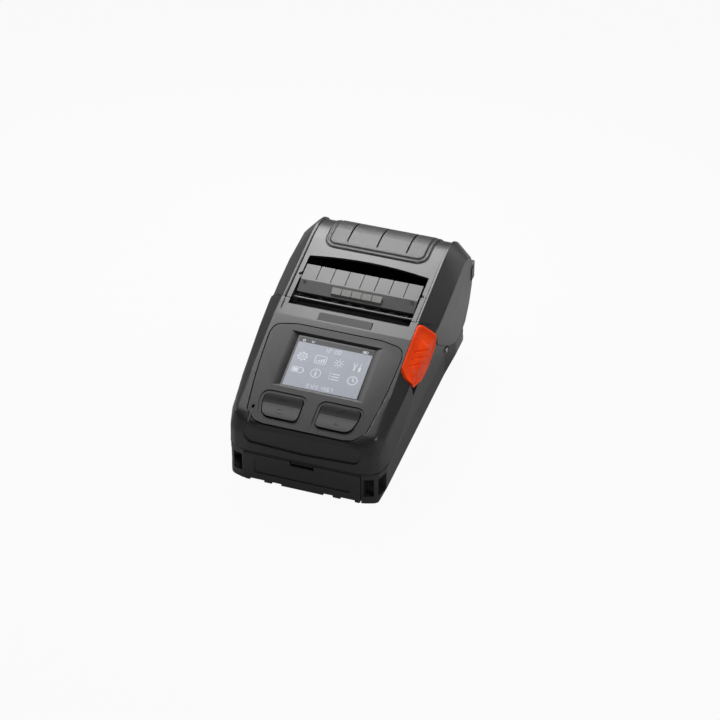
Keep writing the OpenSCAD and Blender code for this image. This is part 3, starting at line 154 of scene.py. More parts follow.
@dataclass(frozen=True)
class Finish:
    """One finish of the printer, as a procedural material.

    Attributes:
        name: The real material and how it was surfaced.
        slot: The record's material slot. It is not used.
        colour: Mean colour, sRGB hex.
        shade: Darker colour of the faint mottle, sRGB hex.
        roughness: Mean roughness.
        cell: Size of one cell of the texture, in millimetres.
        relief: Depth of the texture, in millimetres.
        grain: How the surface was made.
        glow: Strength of the light that it gives off.
        mottle: Size of the faint colour patches, in millimetres.
        gloss: Strength of the mirror reflection; 0.5 is that of a common plastic.
    """

    name: str
    slot: str
    colour: str
    shade: str
    roughness: float
    cell: float
    relief: float
    grain: Grain = Grain.SPARKED
    glow: float = 0.0
    mottle: float = 9.0
    gloss: float = 0.5

    # Shares of the mottle's noise at which its two colours are reached, and how far the roughness strays
    MOTTLE: ClassVar[Point] = (0.3, 0.62)
    POLISH: ClassVar[Point] = (-0.04, 0.05)
    _made: ClassVar[dict[str, bpy.types.Material]] = {}

    def material(self) -> bpy.types.Material:
        """Give the finish's material, which is made the first time.

        Returns:
            The material.
        """
        if self.name not in self._made:
            self._made[self.name] = self._make()
        return self._made[self.name]

    def _make(self) -> bpy.types.Material:
        """Build the material and its node tree.

        Returns:
            The new material.
        """
        made = bpy.data.materials.new(self.name)
        tree = bare_tree(made)
        place = add_node(tree, "ShaderNodeTexCoord").outputs["Object"]
        patches = {"Scale": 1 / (self.mottle * MM), "Detail": 3.0, "Roughness": 0.6}
        noise = add_node(tree, "ShaderNodeTexNoise", patches, {"Vector": place}).outputs["Fac"]
        tone = add_node(tree, "ShaderNodeValToRGB", None, {"Fac": noise})
        for stop, at, colour in zip(tone.color_ramp.elements, self.MOTTLE, (self.shade, self.colour)):
            stop.position = at
            stop.color = linear(colour)
        spread = {"To Min": self.roughness + self.POLISH[0], "To Max": self.roughness + self.POLISH[1]}
        polish = add_node(tree, "ShaderNodeMapRange", spread, {"Value": noise}).outputs["Result"]
        relief = {"Strength": 1.0, "Distance": self.relief * MM}
        height = {"Height": self._texture(tree, place)}
        bump = add_node(tree, "ShaderNodeBump", relief, height).outputs["Normal"]
        colour = tone.outputs["Color"]
        metallic = float(self.grain is Grain.BRUSHED)
        looks = {"Metallic": metallic, "Emission Strength": self.glow, "Specular IOR Level": self.gloss}
        links = {"Base Color": colour, "Roughness": polish, "Normal": bump}
        shader = add_node(tree, "ShaderNodeBsdfPrincipled", looks, links)
        if self.glow:
            tree.links.new(colour, shader.inputs["Emission Color"])
        add_node(tree, "ShaderNodeOutputMaterial", None, {"Surface": shader.outputs["BSDF"]})
        return made

    def _texture(self, tree: NodeTree, place: Socket) -> Socket:
        """Add the height of the surface texture.

        Args:
            tree: The material's node tree.
            place: The point on the surface, in metres.

        Returns:
            The socket that gives the height.
        """
        scale = 1 / (self.cell * MM)
        noise = "ShaderNodeTexNoise"
        if self.grain is Grain.LEATHER:
            # Cells with bent borders, each a low rounded pebble
            bent = add_node(tree, noise, {"Scale": scale * 0.8, "Detail": 2.0}, {"Vector": place})
            stray = {"operation": "MULTIPLY_ADD", 1: (0.5 * self.cell * MM,) * 3}
            moved = add_node(tree, "ShaderNodeVectorMath", stray, {0: bent.outputs["Color"], 2: place})
            painted_shade_margins = {"feature": "DISTANCE_TO_EDGE", "Scale": scale}
            cells = add_node(tree, "ShaderNodeTexVoronoi", painted_shade_margins, {"Vector": moved.outputs["Vector"]})
            pebble = add_node(tree, "ShaderNodeValToRGB", None, {"Fac": cells.outputs["Distance"]})
            pebble.color_ramp.interpolation = "EASE"
            pebble.color_ramp.elements[1].position = 0.35
            return pebble.outputs["Color"]
        if self.grain is Grain.BRUSHED:
            # Noise drawn out along the stroke
            drawn = add_node(tree, "ShaderNodeMapping", {"Scale": (0.06, 1.0, 1.0)}, {"Vector": place})
            place = drawn.outputs["Vector"]
            return add_node(tree, noise, {"Scale": scale, "Detail": 4.0}, {"Vector": place}).outputs["Fac"]
        fine = {"Scale": scale, "Detail": 0.0 if self.grain is Grain.POLISHED else 3.0, "Roughness": 0.55}
        return add_node(tree, noise, fine, {"Vector": place}).outputs["Fac"]


# Black-grey ABS of the shells from a spark-eroded mould: its fine matt grain spreads the light of
# the room wide, so the upper faces look mid-grey and the fronts nearly black. The grain is drawn at
# 0.45 mm, about twice its real size, so that it shows.
SHELL_ABS = Finish(
    "Spark-textured charcoal ABS", "charcoal_shell", "#272628", "#242325", 0.36, 0.45, 0.010, gloss=0.55
)
# The same ABS on the display panel, from a finer mould: smoother, and less bright in the light.
PANEL_ABS = Finish(
    "Fine-textured charcoal ABS", "panel_plastic", "#272628", "#242325", 0.36, 0.35, 0.006, gloss=0.42
)
# Black ABS of the inner frame and other parts under the shells: matt, so it stays dark in the slot.
INNER_ABS = Finish("Moulded black ABS", "black_plastic", "#111112", "#0e0e0f", 0.5, 0.5, 0.006)
# The tear bar is moulded in the grey of the shells, so its teeth show against the black slot.
TOOTH_ABS = Finish("Moulded dark grey ABS", "black_plastic", "#3a3939", "#353434", 0.45, 0.4, 0.004)
# Lit liquid crystals behind the window: an even pale blue-grey that gives off light.
LCD_GLOW = Finish(
    "Backlit liquid crystal", "display_glow", "#8b8e97", "#858994", 0.35, 0.2, 0.0, Grain.POLISHED, glow=0.3
)
# Black printed plate: matt and bare, darker than the shell round it.
PLATE_INK = Finish(
    "Matt black printed plate", "black_plastic", "#1b1a1b", "#181718", 0.5, 0.3, 0.003, gloss=0.35
)
# Silicone of the key caps: soft, with a low waxy sheen.
KEY_SILICONE = Finish(
    "Moulded black silicone", "key_rubber", "#1a1a1b", "#181819", 0.5, 0.3, 0.006, gloss=0.4
)
# The lower key of each pair is dark grey, so it looks lighter than the upper one.
KEY_SILICONE_GREY = Finish(
    "Moulded dark grey silicone", "key_rubber", "#2a292b", "#272628", 0.45, 0.3, 0.006, gloss=0.4
)
# Thermoplastic rubber of the grip pad, moulded with a fine pebbled leather grain that breaks up its
# highlights. Its cells are drawn at 0.5 mm.
GRIP_TPE = Finish(
    "Leather-grained TPE", "grip_rubber", "#323132", "#292829", 0.40, 0.5, 0.03, Grain.LEATHER, mottle=2
)
# Lighter grey ABS of the peeler flap: satin, so it catches the light behind it as a pale band.
FLAP_ABS = Finish("Satin grey ABS", "flap_plastic", "#403f3f", "#3b3a3a", 0.38, 0.4, 0.008)
# Light grey ABS of the segments on the flap, the palest plastic of the printer.
FLAP_TAB_ABS = Finish("Satin light grey ABS", "flap_plastic", "#807f7e", "#7a7978", 0.40, 0.4, 0.008)
# Orange ABS of the release lever, from a polished mould: a satin face with soft, wide highlights.
LEVER_ABS = Finish(
    "Satin orange ABS", "lever_orange", "#fc4a0a", "#f24208", 0.44, 2.0, 0.01, Grain.POLISHED, gloss=0.18
)
# Black-printed acrylic of the display window: polished, so it mirrors the room and looks deep black.
WINDOW_ACRYLIC = Finish(
    "Polished black-backed acrylic", "display_glass", "#0c0d0f", "#0a0b0d", 0.12, 4, 0.004, Grain.POLISHED
)
# Smoked acrylic of the light pipe, frosted on its faces so that it spreads the light.
PIPE_ACRYLIC = Finish(
    "Frosted smoked acrylic", "light_guide", "#525356", "#4c4d50", 0.5, 0.2, 0.002, gloss=0.25
)
# Solder resist over glass fibre: dark green, glossy and a little uneven.
BOARD_RESIST = Finish("Green solder resist", "circuit_board", "#1d5a38", "#184c2f", 0.35, 1.2, 0.01)
# Pressed and turned steel, nickel-plated: pale and satin.
STEEL = Finish("Satin nickel-plated steel", "steel", "#a9aaac", "#9d9ea0", 0.32, 0.3, 0.004, Grain.BRUSHED)
# Ground steel of the peel bar, dulled by use: a grey glint with fine lines along it.
PEEL_STEEL = Finish("Ground steel", "steel", "#8f8f90", "#868687", 0.45, 0.3, 0.004, Grain.BRUSHED)
# Black-oxide steel of the print head's bracket: nearly black, with a dull metal sheen.
BLACK_STEEL = Finish("Black-oxide steel", "steel", "#2b2b2d", "#262628", 0.42, 0.3, 0.004, Grain.BRUSHED)
# Extruded aluminium of the heat sink, anodised black: dark metal with faint lines along it.
SINK_ALLOY = Finish(
    "Black-anodised aluminium", "head_alloy", "#242426", "#202022", 0.42, 0.4, 0.006, Grain.BRUSHED
)
# Glazed ceramic of the print head: dark and glossy.
HEAD_GLAZE = Finish("Glazed ceramic", "head_glaze", "#2b2825", "#262320", 0.15, 5, 0.002, Grain.POLISHED)
# Ground silicone rubber of the platen: black and dead matt.
PLATEN_RUBBER = Finish("Ground black rubber", "platen_rubber", "#171718", "#141415", 0.6, 0.25, 0.01)
# Natural nylon of the hidden gears: a milky off-white with a soft sheen.
GEAR_NYLON = Finish("Moulded natural nylon", "gear_nylon", "#c9c6b9", "#c2bfb1", 0.42, 0.8, 0.004)
# Black acetal of the bushes and of the gear beside the platen: dark and faintly waxy in the slot.
BUSH_ACETAL = Finish("Moulded black acetal", "gear_nylon", "#151516", "#131314", 0.45, 0.8, 0.004)
# Brass of the contacts and the motor's pinion: warm yellow with fine turned lines.
BRASS = Finish("Turned brass", "contact_brass", "#c9a35a", "#bd9750", 0.28, 0.3, 0.003, Grain.BRUSHED)
# Pale symbols on the display, brighter than the lit field round them.
LCD_SYMBOL = Finish(
    "Lit display symbol", "display_glow", "#b9bdc6", "#b2b7c0", 0.35, 1, 0.0, Grain.POLISHED, glow=0.3
)
# Dark status bar of the display: unlit, so its signs stand out.
LCD_BAR = Finish("Unlit liquid crystal", "display_glow", "#242428", "#202024", 0.35, 1, 0.0, Grain.POLISHED)


# Mesh work


@dataclass
class Bench:
    """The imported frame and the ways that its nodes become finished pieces.

    Attributes:
        frame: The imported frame.
        bodies: The CAD body of each node.
        weld: Points closer than this are one, in metres.
        flat: Faces that bend less than this become one, in degrees.
        crease: Edges sharper than this many degrees stay sharp.
    """

    frame: dict[str, Any]
    bodies: dict[str, str] = field(init=False)
    weld: float = 2e-6
    flat: float = 0.4
    crease: float = 32.0

    def __post_init__(self) -> None:
        """Note which body each node is on."""
        groups = self.frame["record"]["behaviour"]["bodies"]
        self.bodies = {node: body for body, nodes in groups.items() for node in nodes}

    def carry(self, node: str, finish: Finish) -> None:
        """Keep a CAD node as it is and give it a finish.

        Args:
            node: Name of the node.
            finish: Its finish.
        """
        mesh = self.frame["nodes"][node].data
        mesh.materials.clear()
        mesh.materials.append(finish.material())
        log.info("node %s: %s", node, finish.name)

    def clean_copy(self, node: str) -> BMesh:
        """Copy a node's mesh with its vertices welded and its flat faces joined.

        Args:
            node: Name of the node.

        Returns:
            The copy, in metres.
        """
        bm = bmesh.new()
        bm.from_mesh(self.frame["nodes"][node].data)
        bmesh.ops.remove_doubles(bm, verts=bm.verts, dist=self.weld)
        bmesh.ops.dissolve_limit(bm, angle_limit=math.radians(self.flat), verts=bm.verts, edges=bm.edges)
        return bm

    def place(self, name: str, bm: BMesh, body: str, finish: Finish) -> bpy.types.Object:
        """Make an object of a mesh, finish it and let it ride on a body.

        Args:
            name: Name of the piece.
            bm: The mesh, in metres. It is freed.
            body: The CAD body that carries the piece.
            finish: The finish.

        Returns:
            The new object.
        """
        bmesh.ops.recalc_face_normals(bm, faces=bm.faces)
        mesh = bpy.data.meshes.new(name)
        bm.to_mesh(mesh)
        bm.free()
        mesh.materials.append(finish.material())
        piece = bpy.data.objects.new(name, mesh)
        bpy.context.scene.collection.objects.link(piece)
        mesh.shade_smooth()
        mesh.set_sharp_from_angle(angle=math.radians(self.crease))
        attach(piece, body)
        log.info("piece %s on %s: %s", name, body, finish.name)
        return piece

    def round_edges(self, piece: bpy.types.Object, width: float, angle: float) -> None:
        """Round the sharp edges of a piece with a modifier.

        Args:
            piece: The piece.
            width: Width of the rounding, in millimetres.
            angle: Edges sharper than this many degrees are rounded.
        """
        bevel = piece.modifiers.new("edge rounding", "BEVEL")
        bevel.width = width * MM
        bevel.segments = 2
        bevel.limit_method = "ANGLE"
        bevel.angle_limit = math.radians(angle)
        bevel.harden_normals = False
        bevel.miter_outer = "MITER_ARC"
        weighted = piece.modifiers.new("even shading", "WEIGHTED_NORMAL")
        weighted.keep_sharp = True

    def refine(
        self,
        node: str,
        name: str,
        finish: Finish,
        width: float,
        angle: float = 30,
        carve: Callable[[BMesh], None] | None = None,
    ) -> bpy.types.Object:
        """Stand a rounded copy of a node in its place.

        Args:
            node: Name of the node.
            name: Name of the piece.
            finish: The finish.
            width: Width of the edge rounding, in millimetres.
            angle: Edges sharper than this many degrees are rounded.
            carve: Shapes the copy before its edges are rounded.

        Returns:
            The new piece.
        """
        bm = self.clean_copy(node)
        if carve is not None:
            carve(bm)
        piece = self.place(name, bm, self.bodies[node], finish)
        self.round_edges(piece, width, angle)
        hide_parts(node)
        return piece


def cut_across(
    bm: BMesh, normal: Sequence[float], at: Iterable[float], through: Sequence[float] = (0, 0, 0)
) -> None:
    """Cut a mesh's marked faces along parallel planes, so that they can be shaped.

    Args:
        bm: The mesh, in metres. Its marked faces have material index 1.
        normal: Unit normal of the planes.
        at: Distances of the planes from the point, in millimetres.
        through: The point, in millimetres.
    """
    way = Vector(normal)
    start = Vector(through).dot(way)
    for distance in at:
        level = (start + distance) * MM
        faces = []
        for face in bm.faces:
            if face.material_index:
                heights = [v.co.dot(way) for v in face.verts]
                if min(heights) < level < max(heights):
                    faces.append(face)
        geom = [*faces, *{e for f in faces for e in f.edges}, *{v for f in faces for v in f.verts}]
        bmesh.ops.bisect_plane(bm, geom=geom, plane_co=way * level, plane_no=way, dist=1e-7)


def mark(bm: BMesh, test: Callable[[BMFace], bool]) -> list[tuple[Vector, Vector]]:
    """Mark the faces that are to be shaped.

    Args:
        bm: The mesh, in metres.
        test: Tells whether a face is marked.

    Returns:
        The two ends of each edge round the marked faces, in millimetres.
    """
    bm.normal_update()
    for face in bm.faces:
        face.material_index = 1 if test(face) else 0
    return [
        (edge.verts[0].co / MM, edge.verts[1].co / MM)
        for edge in bm.edges
        if len({face.material_index for face in edge.link_faces}) == 2
    ]


def inside(vert: bmesh.types.BMVert) -> bool:
    """Tell whether a point lies inside the marked faces."""
    return bool(vert.link_faces) and all(face.material_index for face in vert.link_faces)


def unmark(bm: BMesh) -> None:
    """Take the marks off a mesh."""
    for face in bm.faces:
        face.material_index = 0


def shape(bm: BMesh, move: Callable[[Vector], Vector]) -> None:
    """Move the points inside the marked faces, then take the marks away.

    Args:
        bm: The mesh, in metres.
        move: Gives a point's shift from its place, both in millimetres.
    """
    for vert in bm.verts:
        if inside(vert):
            vert.co += move(vert.co / MM) * MM
    unmark(bm)


def steps(low: float, high: float, pitch: float) -> list[float]:
    """Give evenly spaced values between two limits, with about that pitch."""
    count = max(1, round((high - low) / pitch))
    return [low + (high - low) * (i + 0.5) / count for i in range(count)]


def to_segment(p: Vector, a: Vector, b: Vector) -> float:
    """Measure how far a point is from the straight line between two others.

    Args:
        p: The point.
        a: One end of the line.
        b: The other end.

    Returns:
        The distance.
    """
    along = b - a
    t = (p - a).dot(along) / max(along.length_squared, 1e-12)
    return (p - a - min(1.0, max(0.0, t)) * along).length


def ease(t: float) -> float:
    """Rise smoothly from 0 to 1 as t does."""
    t = min(1.0, max(0.0, t))
    return t * t * (3 - 2 * t)


def ring(
    x: float, y: float, radius: float, count: int = 20, start: float = 0, sweep: float = 360
) -> list[Point]:
    """Give points along an arc.

    Args:
        x: Middle, across.
        y: Middle, upwards.
        radius: Radius.
        count: Number of steps.
        start: Where the arc starts, in degrees.
        sweep: How far it goes, in degrees; a full turn leaves out its last point.

    Returns:
        The points.
    """
    last = count if sweep >= 360 else count + 1
    turns = [math.radians(start + sweep * i / count) for i in range(last)]
    return [(x + radius * math.cos(t), y + radius * math.sin(t)) for t in turns]


def rounded_box(x: float, y: float, half_x: float, half_y: float, radius: float) -> list[Point]:
    """Give the outline of a rectangle with round corners.

    Args:
        x: Middle, across.
        y: Middle, upwards.
        half_x: Half of its width.
        half_y: Half of its height.
        radius: Radius of its corners.

    Returns:
        The points.
    """
    points: list[Point] = []
    for quarter, (sx, sy) in enumerate(((1, 1), (-1, 1), (-1, -1), (1, -1))):
        points += ring(x + sx * (half_x - radius), y + sy * (half_y - radius), radius, 4, 90 * quarter, 90)
    return points


@dataclass(frozen=True)
class Stroke:
    """A drawn line of even width.

    Attributes:
        points: The points that it follows, in millimetres.
        width: Its width, in millimetres.
        closed: Whether its ends meet.
    """

    points: Sequence[Point]
    width: float
    closed: bool = False

    def placed(self, x: float, y: float, scale: float = 1.0) -> Stroke:
        """Give the line moved to a place, with its width scaled."""
        return Stroke([(x + u, y + v) for u, v in self.points], self.width * scale, self.closed)

    def sides(self) -> tuple[list[Point], list[Point]]:
        """Find the points along the line's two sides, with mitred corners.

        Returns:
            The points on its left and those on its right.
        """
        pts, n = list(self.points), len(self.points)
        left: list[Point] = []
        right: list[Point] = []
        for i, (x, y) in enumerate(pts):
            before = pts[i - 1] if i or self.closed else None
            after = pts[(i + 1) % n] if i < n - 1 or self.closed else None
            ways = [
                Vector((b[0] - a[0], b[1] - a[1])).normalized()
                for a, b in ((before, (x, y)), ((x, y), after))
                if a is not None and b is not None
            ]
            across = sum((Vector((-w.y, w.x)) for w in ways), Vector((0.0, 0.0))).normalized()
            spread = self.width / 2 / max(0.4, across.dot(Vector((-ways[0].y, ways[0].x))))
            left.append((x + across.x * spread, y + across.y * spread))
            right.append((x - across.x * spread, y - across.y * spread))
        return left, right

    def add_to(self, bm: BMesh, low: float, high: float, lift: Lift) -> None:
        """Add the line to a mesh as a closed bar.

        Args:
            bm: The mesh, in panel millimetres.
            low: Level of its underside.
            high: Level of its top.
            lift: Height of the surface under it, by the place up the panel.
        """
        left, right = self.sides()
        loops = [
            [bm.verts.new((x, y, lift(y) + z)) for x, y in side]
            for side, z in ((left, high), (right, high), (right, low), (left, low))
        ]
        n = len(left)
        for i in range(n if self.closed else n - 1):
            j = (i + 1) % n
            for a, b in zip(loops, [*loops[1:], loops[0]]):
                bm.faces.new((a[i], a[j], b[j], b[i]))
        if not self.closed:
            bm.faces.new([loop[0] for loop in reversed(loops)])
            bm.faces.new([loop[-1] for loop in loops])


# Studio


@dataclass
class Studio:
    """Camera, floor and lights. Lengths are in metres.

    Attributes:
        focal: Focal length of the lens, in millimetres.
        turn: Azimuth of the camera from straight in front, in degrees.
        rise: Elevation of the camera, in degrees.
        distance: From the camera to the point that it faces.
        aim: The point that the camera faces.
        across: Sideways shift of the camera, as a share of the distance.
        upward: Upward shift of the camera, as a share of the distance.
        room_light: Strength of the room's light on the printer.
        camera_share: Share of the floor that is plain white to the camera; the rest keeps the shadow.
        glossy_share: The same share for reflections.
        glossy_room: Share of white that the room has in reflections.
        lit_point: The point that the lights face.
        floor_level: Height of the floor, a hair under the printer.
    """

    focal: float = 120.0
    turn: float = 18.63
    rise: float = 37.51
    distance: float = 1.2228
    aim: Triple = (0.0, -0.0078, 0.027)
    across: float = 13.75 / 2400
    upward: float = 8.6 / 2400
    room_light: float = 0.035
    camera_share: float = 0.94
    glossy_share: float = 0.12
    glossy_room: float = 0.03
    lit_point: Triple = (0.0, 0.0, 0.05)
    floor_level: float = -0.0002

    def camera(self) -> None:
        """Set the camera at the photograph's viewing angle."""
        a, e = math.radians(self.turn), math.radians(self.rise)
        back = Vector((math.sin(a) * math.cos(e), -math.cos(a) * math.cos(e), math.sin(e)))
        right = Vector((math.cos(a), math.sin(a), 0.0))
        up = back.cross(right)
        eye = Vector(self.aim) + self.distance * (back + self.across * right + self.upward * up)
        data = bpy.data.cameras.new("camera")
        data.lens = self.focal
        data.sensor_width = 36.0
        camera = bpy.data.objects.new("camera", data)
        camera.matrix_world = Matrix.Translation(eye) @ Matrix((right, up, back)).transposed().to_4x4()
        bpy.context.scene.collection.objects.link(camera)
        bpy.context.scene.camera = camera

    def whiten(self, tree: NodeTree, plain: Socket, white: Socket, camera: float, glossy: float) -> Socket:
        """Mix a shader with white by the kind of ray that meets it.

        Args:
            tree: The node tree.
            plain: The shader.
            white: White light.
            camera: Share of white for the camera, straight or through a clear piece.
            glossy: Share of white in reflections.

        Returns:
            The socket of the mixed shader.
        """
        path = add_node(tree, "ShaderNodeLightPath").outputs
        straight = {0: path["Is Camera Ray"], 1: path["Is Transmission Ray"]}
        shown = add_node(tree, "ShaderNodeMath", {"operation": "MAXIMUM"}, straight).outputs["Value"]
        reflected = {"operation": "MULTIPLY", 1: glossy}
        seen = add_node(tree, "ShaderNodeMath", reflected, {0: path["Is Glossy Ray"]}).outputs["Value"]
        both = {"operation": "MULTIPLY_ADD", 1: camera}
        share = add_node(tree, "ShaderNodeMath", both, {0: shown, 2: seen}).outputs["Value"]
        parts = {"Fac": share, 1: plain, 2: white}
        return add_node(tree, "ShaderNodeMixShader", None, parts).outputs["Shader"]

    def floor(self) -> None:
        """Lay a white floor that keeps a faint shadow of the printer."""
        bm = bmesh.new()
        bmesh.ops.create_grid(bm, x_segments=1, y_segments=1, size=3.0)
        mesh = bpy.data.meshes.new("floor")
        bm.to_mesh(mesh)
        bm.free()
        made = bpy.data.materials.new("White paper sweep")
        tree = bare_tree(made)
        paper = add_node(tree, "ShaderNodeBsdfDiffuse", {"Color": linear("#b0b0b0")}).outputs["BSDF"]
        lit = add_node(tree, "ShaderNodeEmission", {"Color": WHITE, "Strength": 1.0}).outputs["Emission"]
        mixed = self.whiten(tree, paper, lit, self.camera_share, self.glossy_share)
        add_node(tree, "ShaderNodeOutputMaterial", None, {"Surface": mixed})
        mesh.materials.append(made)
        floor = bpy.data.objects.new("floor", mesh)
        floor.location.z = self.floor_level
        bpy.context.scene.collection.objects.link(floor)

    def panel(self, name: str, at: Triple, size: float, power: float) -> None:
        """Hang a square soft light that faces the printer and that the camera doesn't see.

        Args:
            name: Name of the light.
            at: Its place.
            size: Length of its side.
            power: Its power in watts.
        """
        data = bpy.data.lights.new(name, "AREA")
        data.size = size
        data.energy = power
        lamp = bpy.data.objects.new(name, data)
        lamp.location = at
        lamp.rotation_euler = (Vector(self.lit_point) - Vector(at)).to_track_quat("-Z", "Y").to_euler()
        lamp.visible_camera = False
        bpy.context.scene.collection.objects.link(lamp)

    def lights(self) -> None:
        """Hang the soft lights and set a dim room round them, white only to the camera."""
        self.panel("rear softbox", (-0.042, 0.157, 0.213), 0.14, 0.46)
        self.panel("rear left softbox", (-0.128, 0.118, 0.315), 0.22, 0.68)
        self.panel("rear right softbox", (0.45, 0.6, 0.2), 0.3, 0.4)
        self.panel("left softbox", (-0.8, -0.05, 0.3), 0.45, 1.5)
        self.panel("front right softbox", (0.62, -0.30, 0.50), 0.35, 3.0)
        world = bpy.data.worlds.new("room")
        tree = bare_tree(world)
        room, white = (
            add_node(tree, "ShaderNodeBackground", {"Color": WHITE, "Strength": power}).outputs["Background"]
            for power in (self.room_light, 1.0)
        )
        mixed = self.whiten(tree, room, white, 1.0, self.glossy_room)
        add_node(tree, "ShaderNodeOutputWorld", None, {"Surface": mixed})
        bpy.context.scene.world = world
        bpy.context.scene.view_settings.view_transform = "Standard"

    def build(self) -> None:
        """Build the whole stage."""
        self.camera()
        self.floor()
        self.lights()


# The printer


# The CAD nodes that stay as they are, by their finish
CARRIED: dict[Finish, tuple[str, ...]] = {
    INNER_ABS: ("display_module", "key_mat", "label_sensor"),
    BOARD_RESIST: ("main_board",),
    STEEL: (
        "interface_sockets", "head_springs", "platen_shaft", "idler_post", "stepper_motor", "latch_shaft",
        "latch_spring", "hinge_pin", "board_screws",
    ),
    HEAD_GLAZE: ("head_ceramic",),
    SINK_ALLOY: ("head_heat_sink",),
    BLACK_STEEL: ("head_bracket",),
    PLATEN_RUBBER: ("platen_sleeve",),
    BUSH_ACETAL: ("platen_bushes", "platen_gear"),
    GEAR_NYLON: ("idler_gear", "guide_pinion"),
    BRASS: ("motor_pinion", "battery_contacts"),
}


class Assembly:
    """A sub-assembly of the printer."""

    def pieces(self) -> list[tuple[Any, ...]]:
        """List its finer pieces, each as the arguments of Bench.refine."""
        return []

    def build(self, bench: Bench) -> None:
        """Build the sub-assembly on the bench."""
        for piece in self.pieces():
            bench.refine(*piece)


@dataclass
class Shells(Assembly):
    """The outer mouldings.

    Attributes:
        edge: Width of the rounding of the large mouldings' edges.
        band_half: Half width of the shallow band along the top.
        band_front: Front end of that band.
        band_low: The band's edges all lie above this height.
        band_slope: Width of the slope of its walls.
        soft_from: The front corners and the chin are evened out ahead of this place.
        soft_taper: Length over which the evening-out fades in.
        soft_pitch: Spacing of the cuts that let the surface bend.
        soft_rounds: Number of rounds of smoothing.
        soft_margin: Distance from the border over which the surface goes back to its place.
        soft_box: Reach of the cuts along x, y and z.
    """

    edge: float = 0.35
    band_half: float = 34.6
    band_front: float = -38.0
    band_low: float = 30.0
    band_slope: float = 0.75
    soft_from: float = -47.0
    soft_taper: float = 9.0
    soft_pitch: float = 0.8
    soft_rounds: int = 26
    soft_margin: float = 1.8
    soft_box: tuple[Point, ...] = ((-41.0, 41.0), (-76.0, -47.0), (19.6, 47.0))

    def slope_walls(self, bm: BMesh) -> None:
        """Slope the walls of the shallow band along the top.

        Args:
            bm: The mesh of a shell, in metres.
        """
        bm.normal_update()
        picked = []
        for edge in bm.edges:
            mid = (edge.verts[0].co + edge.verts[1].co) / 2 / MM
            on_band = mid.y >= self.band_front and mid.z >= self.band_low
            steep = [abs(f.normal.x) > 0.5 and abs(f.normal.z) < 0.3 for f in edge.link_faces]
            if on_band and abs(abs(mid.x) - self.band_half) <= 0.06 and sorted(steep) == [False, True]:
                top = edge.link_faces[steep.index(False)]
                if abs(top.calc_center_median().x / MM) > self.band_half:
                    picked.append(edge)
        bmesh.ops.bevel(bm, geom=picked, offset=self.band_slope * MM, segments=2, profile=0.5, affect="EDGES")

    def soften_front(self, bm: BMesh) -> None:
        """Even out the facets of the chin and the front corners into one curved surface.

        Args:
            bm: The mesh of the front housing, in metres.
        """
        self.slope_walls(bm)
        hull = bmesh.new()
        for vert in bm.verts:
            hull.verts.new(vert.co)
        bmesh.ops.convex_hull(hull, input=hull.verts[:], use_existing_faces=False)
        skin = BVHTree.FromBMesh(hull)
        hull.free()

        def outer(face: BMFace) -> bool:
            """Tell whether a face is on the outside, near the front.

            Args:
                face: The face.

            Returns:
                Whether it is.
            """
            middle = face.calc_center_median()
            reach = skin.find_nearest(middle)[3]
            low = min(v.co.y for v in face.verts) / MM
            return reach < 0.04 * MM and face.normal.y < 0.4 and face.normal.z > -0.4 and low < self.soft_from

        mark(bm, outer)
        cut_across(bm, (0, 1, 0), [self.soft_from])
        for face in bm.faces:
            if face.calc_center_median().y / MM > self.soft_from:
                face.material_index = 0
        for axis, (low, high) in enumerate(self.soft_box):
            cut_across(bm, [float(axis == i) for i in range(3)], steps(low, high, self.soft_pitch))
        inner = [v for v in bm.verts if inside(v)]
        rim = [v for v in bm.verts if any(f.material_index for f in v.link_faces) and not inside(v)]
        border = KDTree(len(rim))
        for index, vert in enumerate(rim):
            border.insert(vert.co, index)
        border.balance()
        starts = [(v, v.co.copy()) for v in inner]
        axes = {f"use_axis_{axis}": True for axis in "xyz"}
        for turn in range(self.soft_rounds):
            limit = self.soft_from - self.soft_taper * turn / self.soft_rounds
            moved = [v for v in inner if v.co.y / MM < limit]
            bmesh.ops.smooth_vert(bm, verts=moved, factor=0.5, **axes)
        for vert, start in starts:
            vert.co = start.lerp(vert.co, ease(border.find(start)[2] / MM / self.soft_margin))
        unmark(bm)

    def pieces(self) -> list[tuple[Any, ...]]:
        """List the shells, lugs and port cover.

        Returns:
            The arguments of Bench.refine for each.
        """
        return [
            ("base_housing", "base_moulding", SHELL_ABS, self.edge),
            ("front_housing", "front_moulding", SHELL_ABS, self.edge, 30, self.soften_front),
            ("rear_cover", "cover_moulding", SHELL_ABS, self.edge, 30, self.slope_walls),
            ("rear_lugs", "lug_mouldings", SHELL_ABS, 0.3),
            ("port_cover", "port_door_moulding", SHELL_ABS, 0.25),
        ]


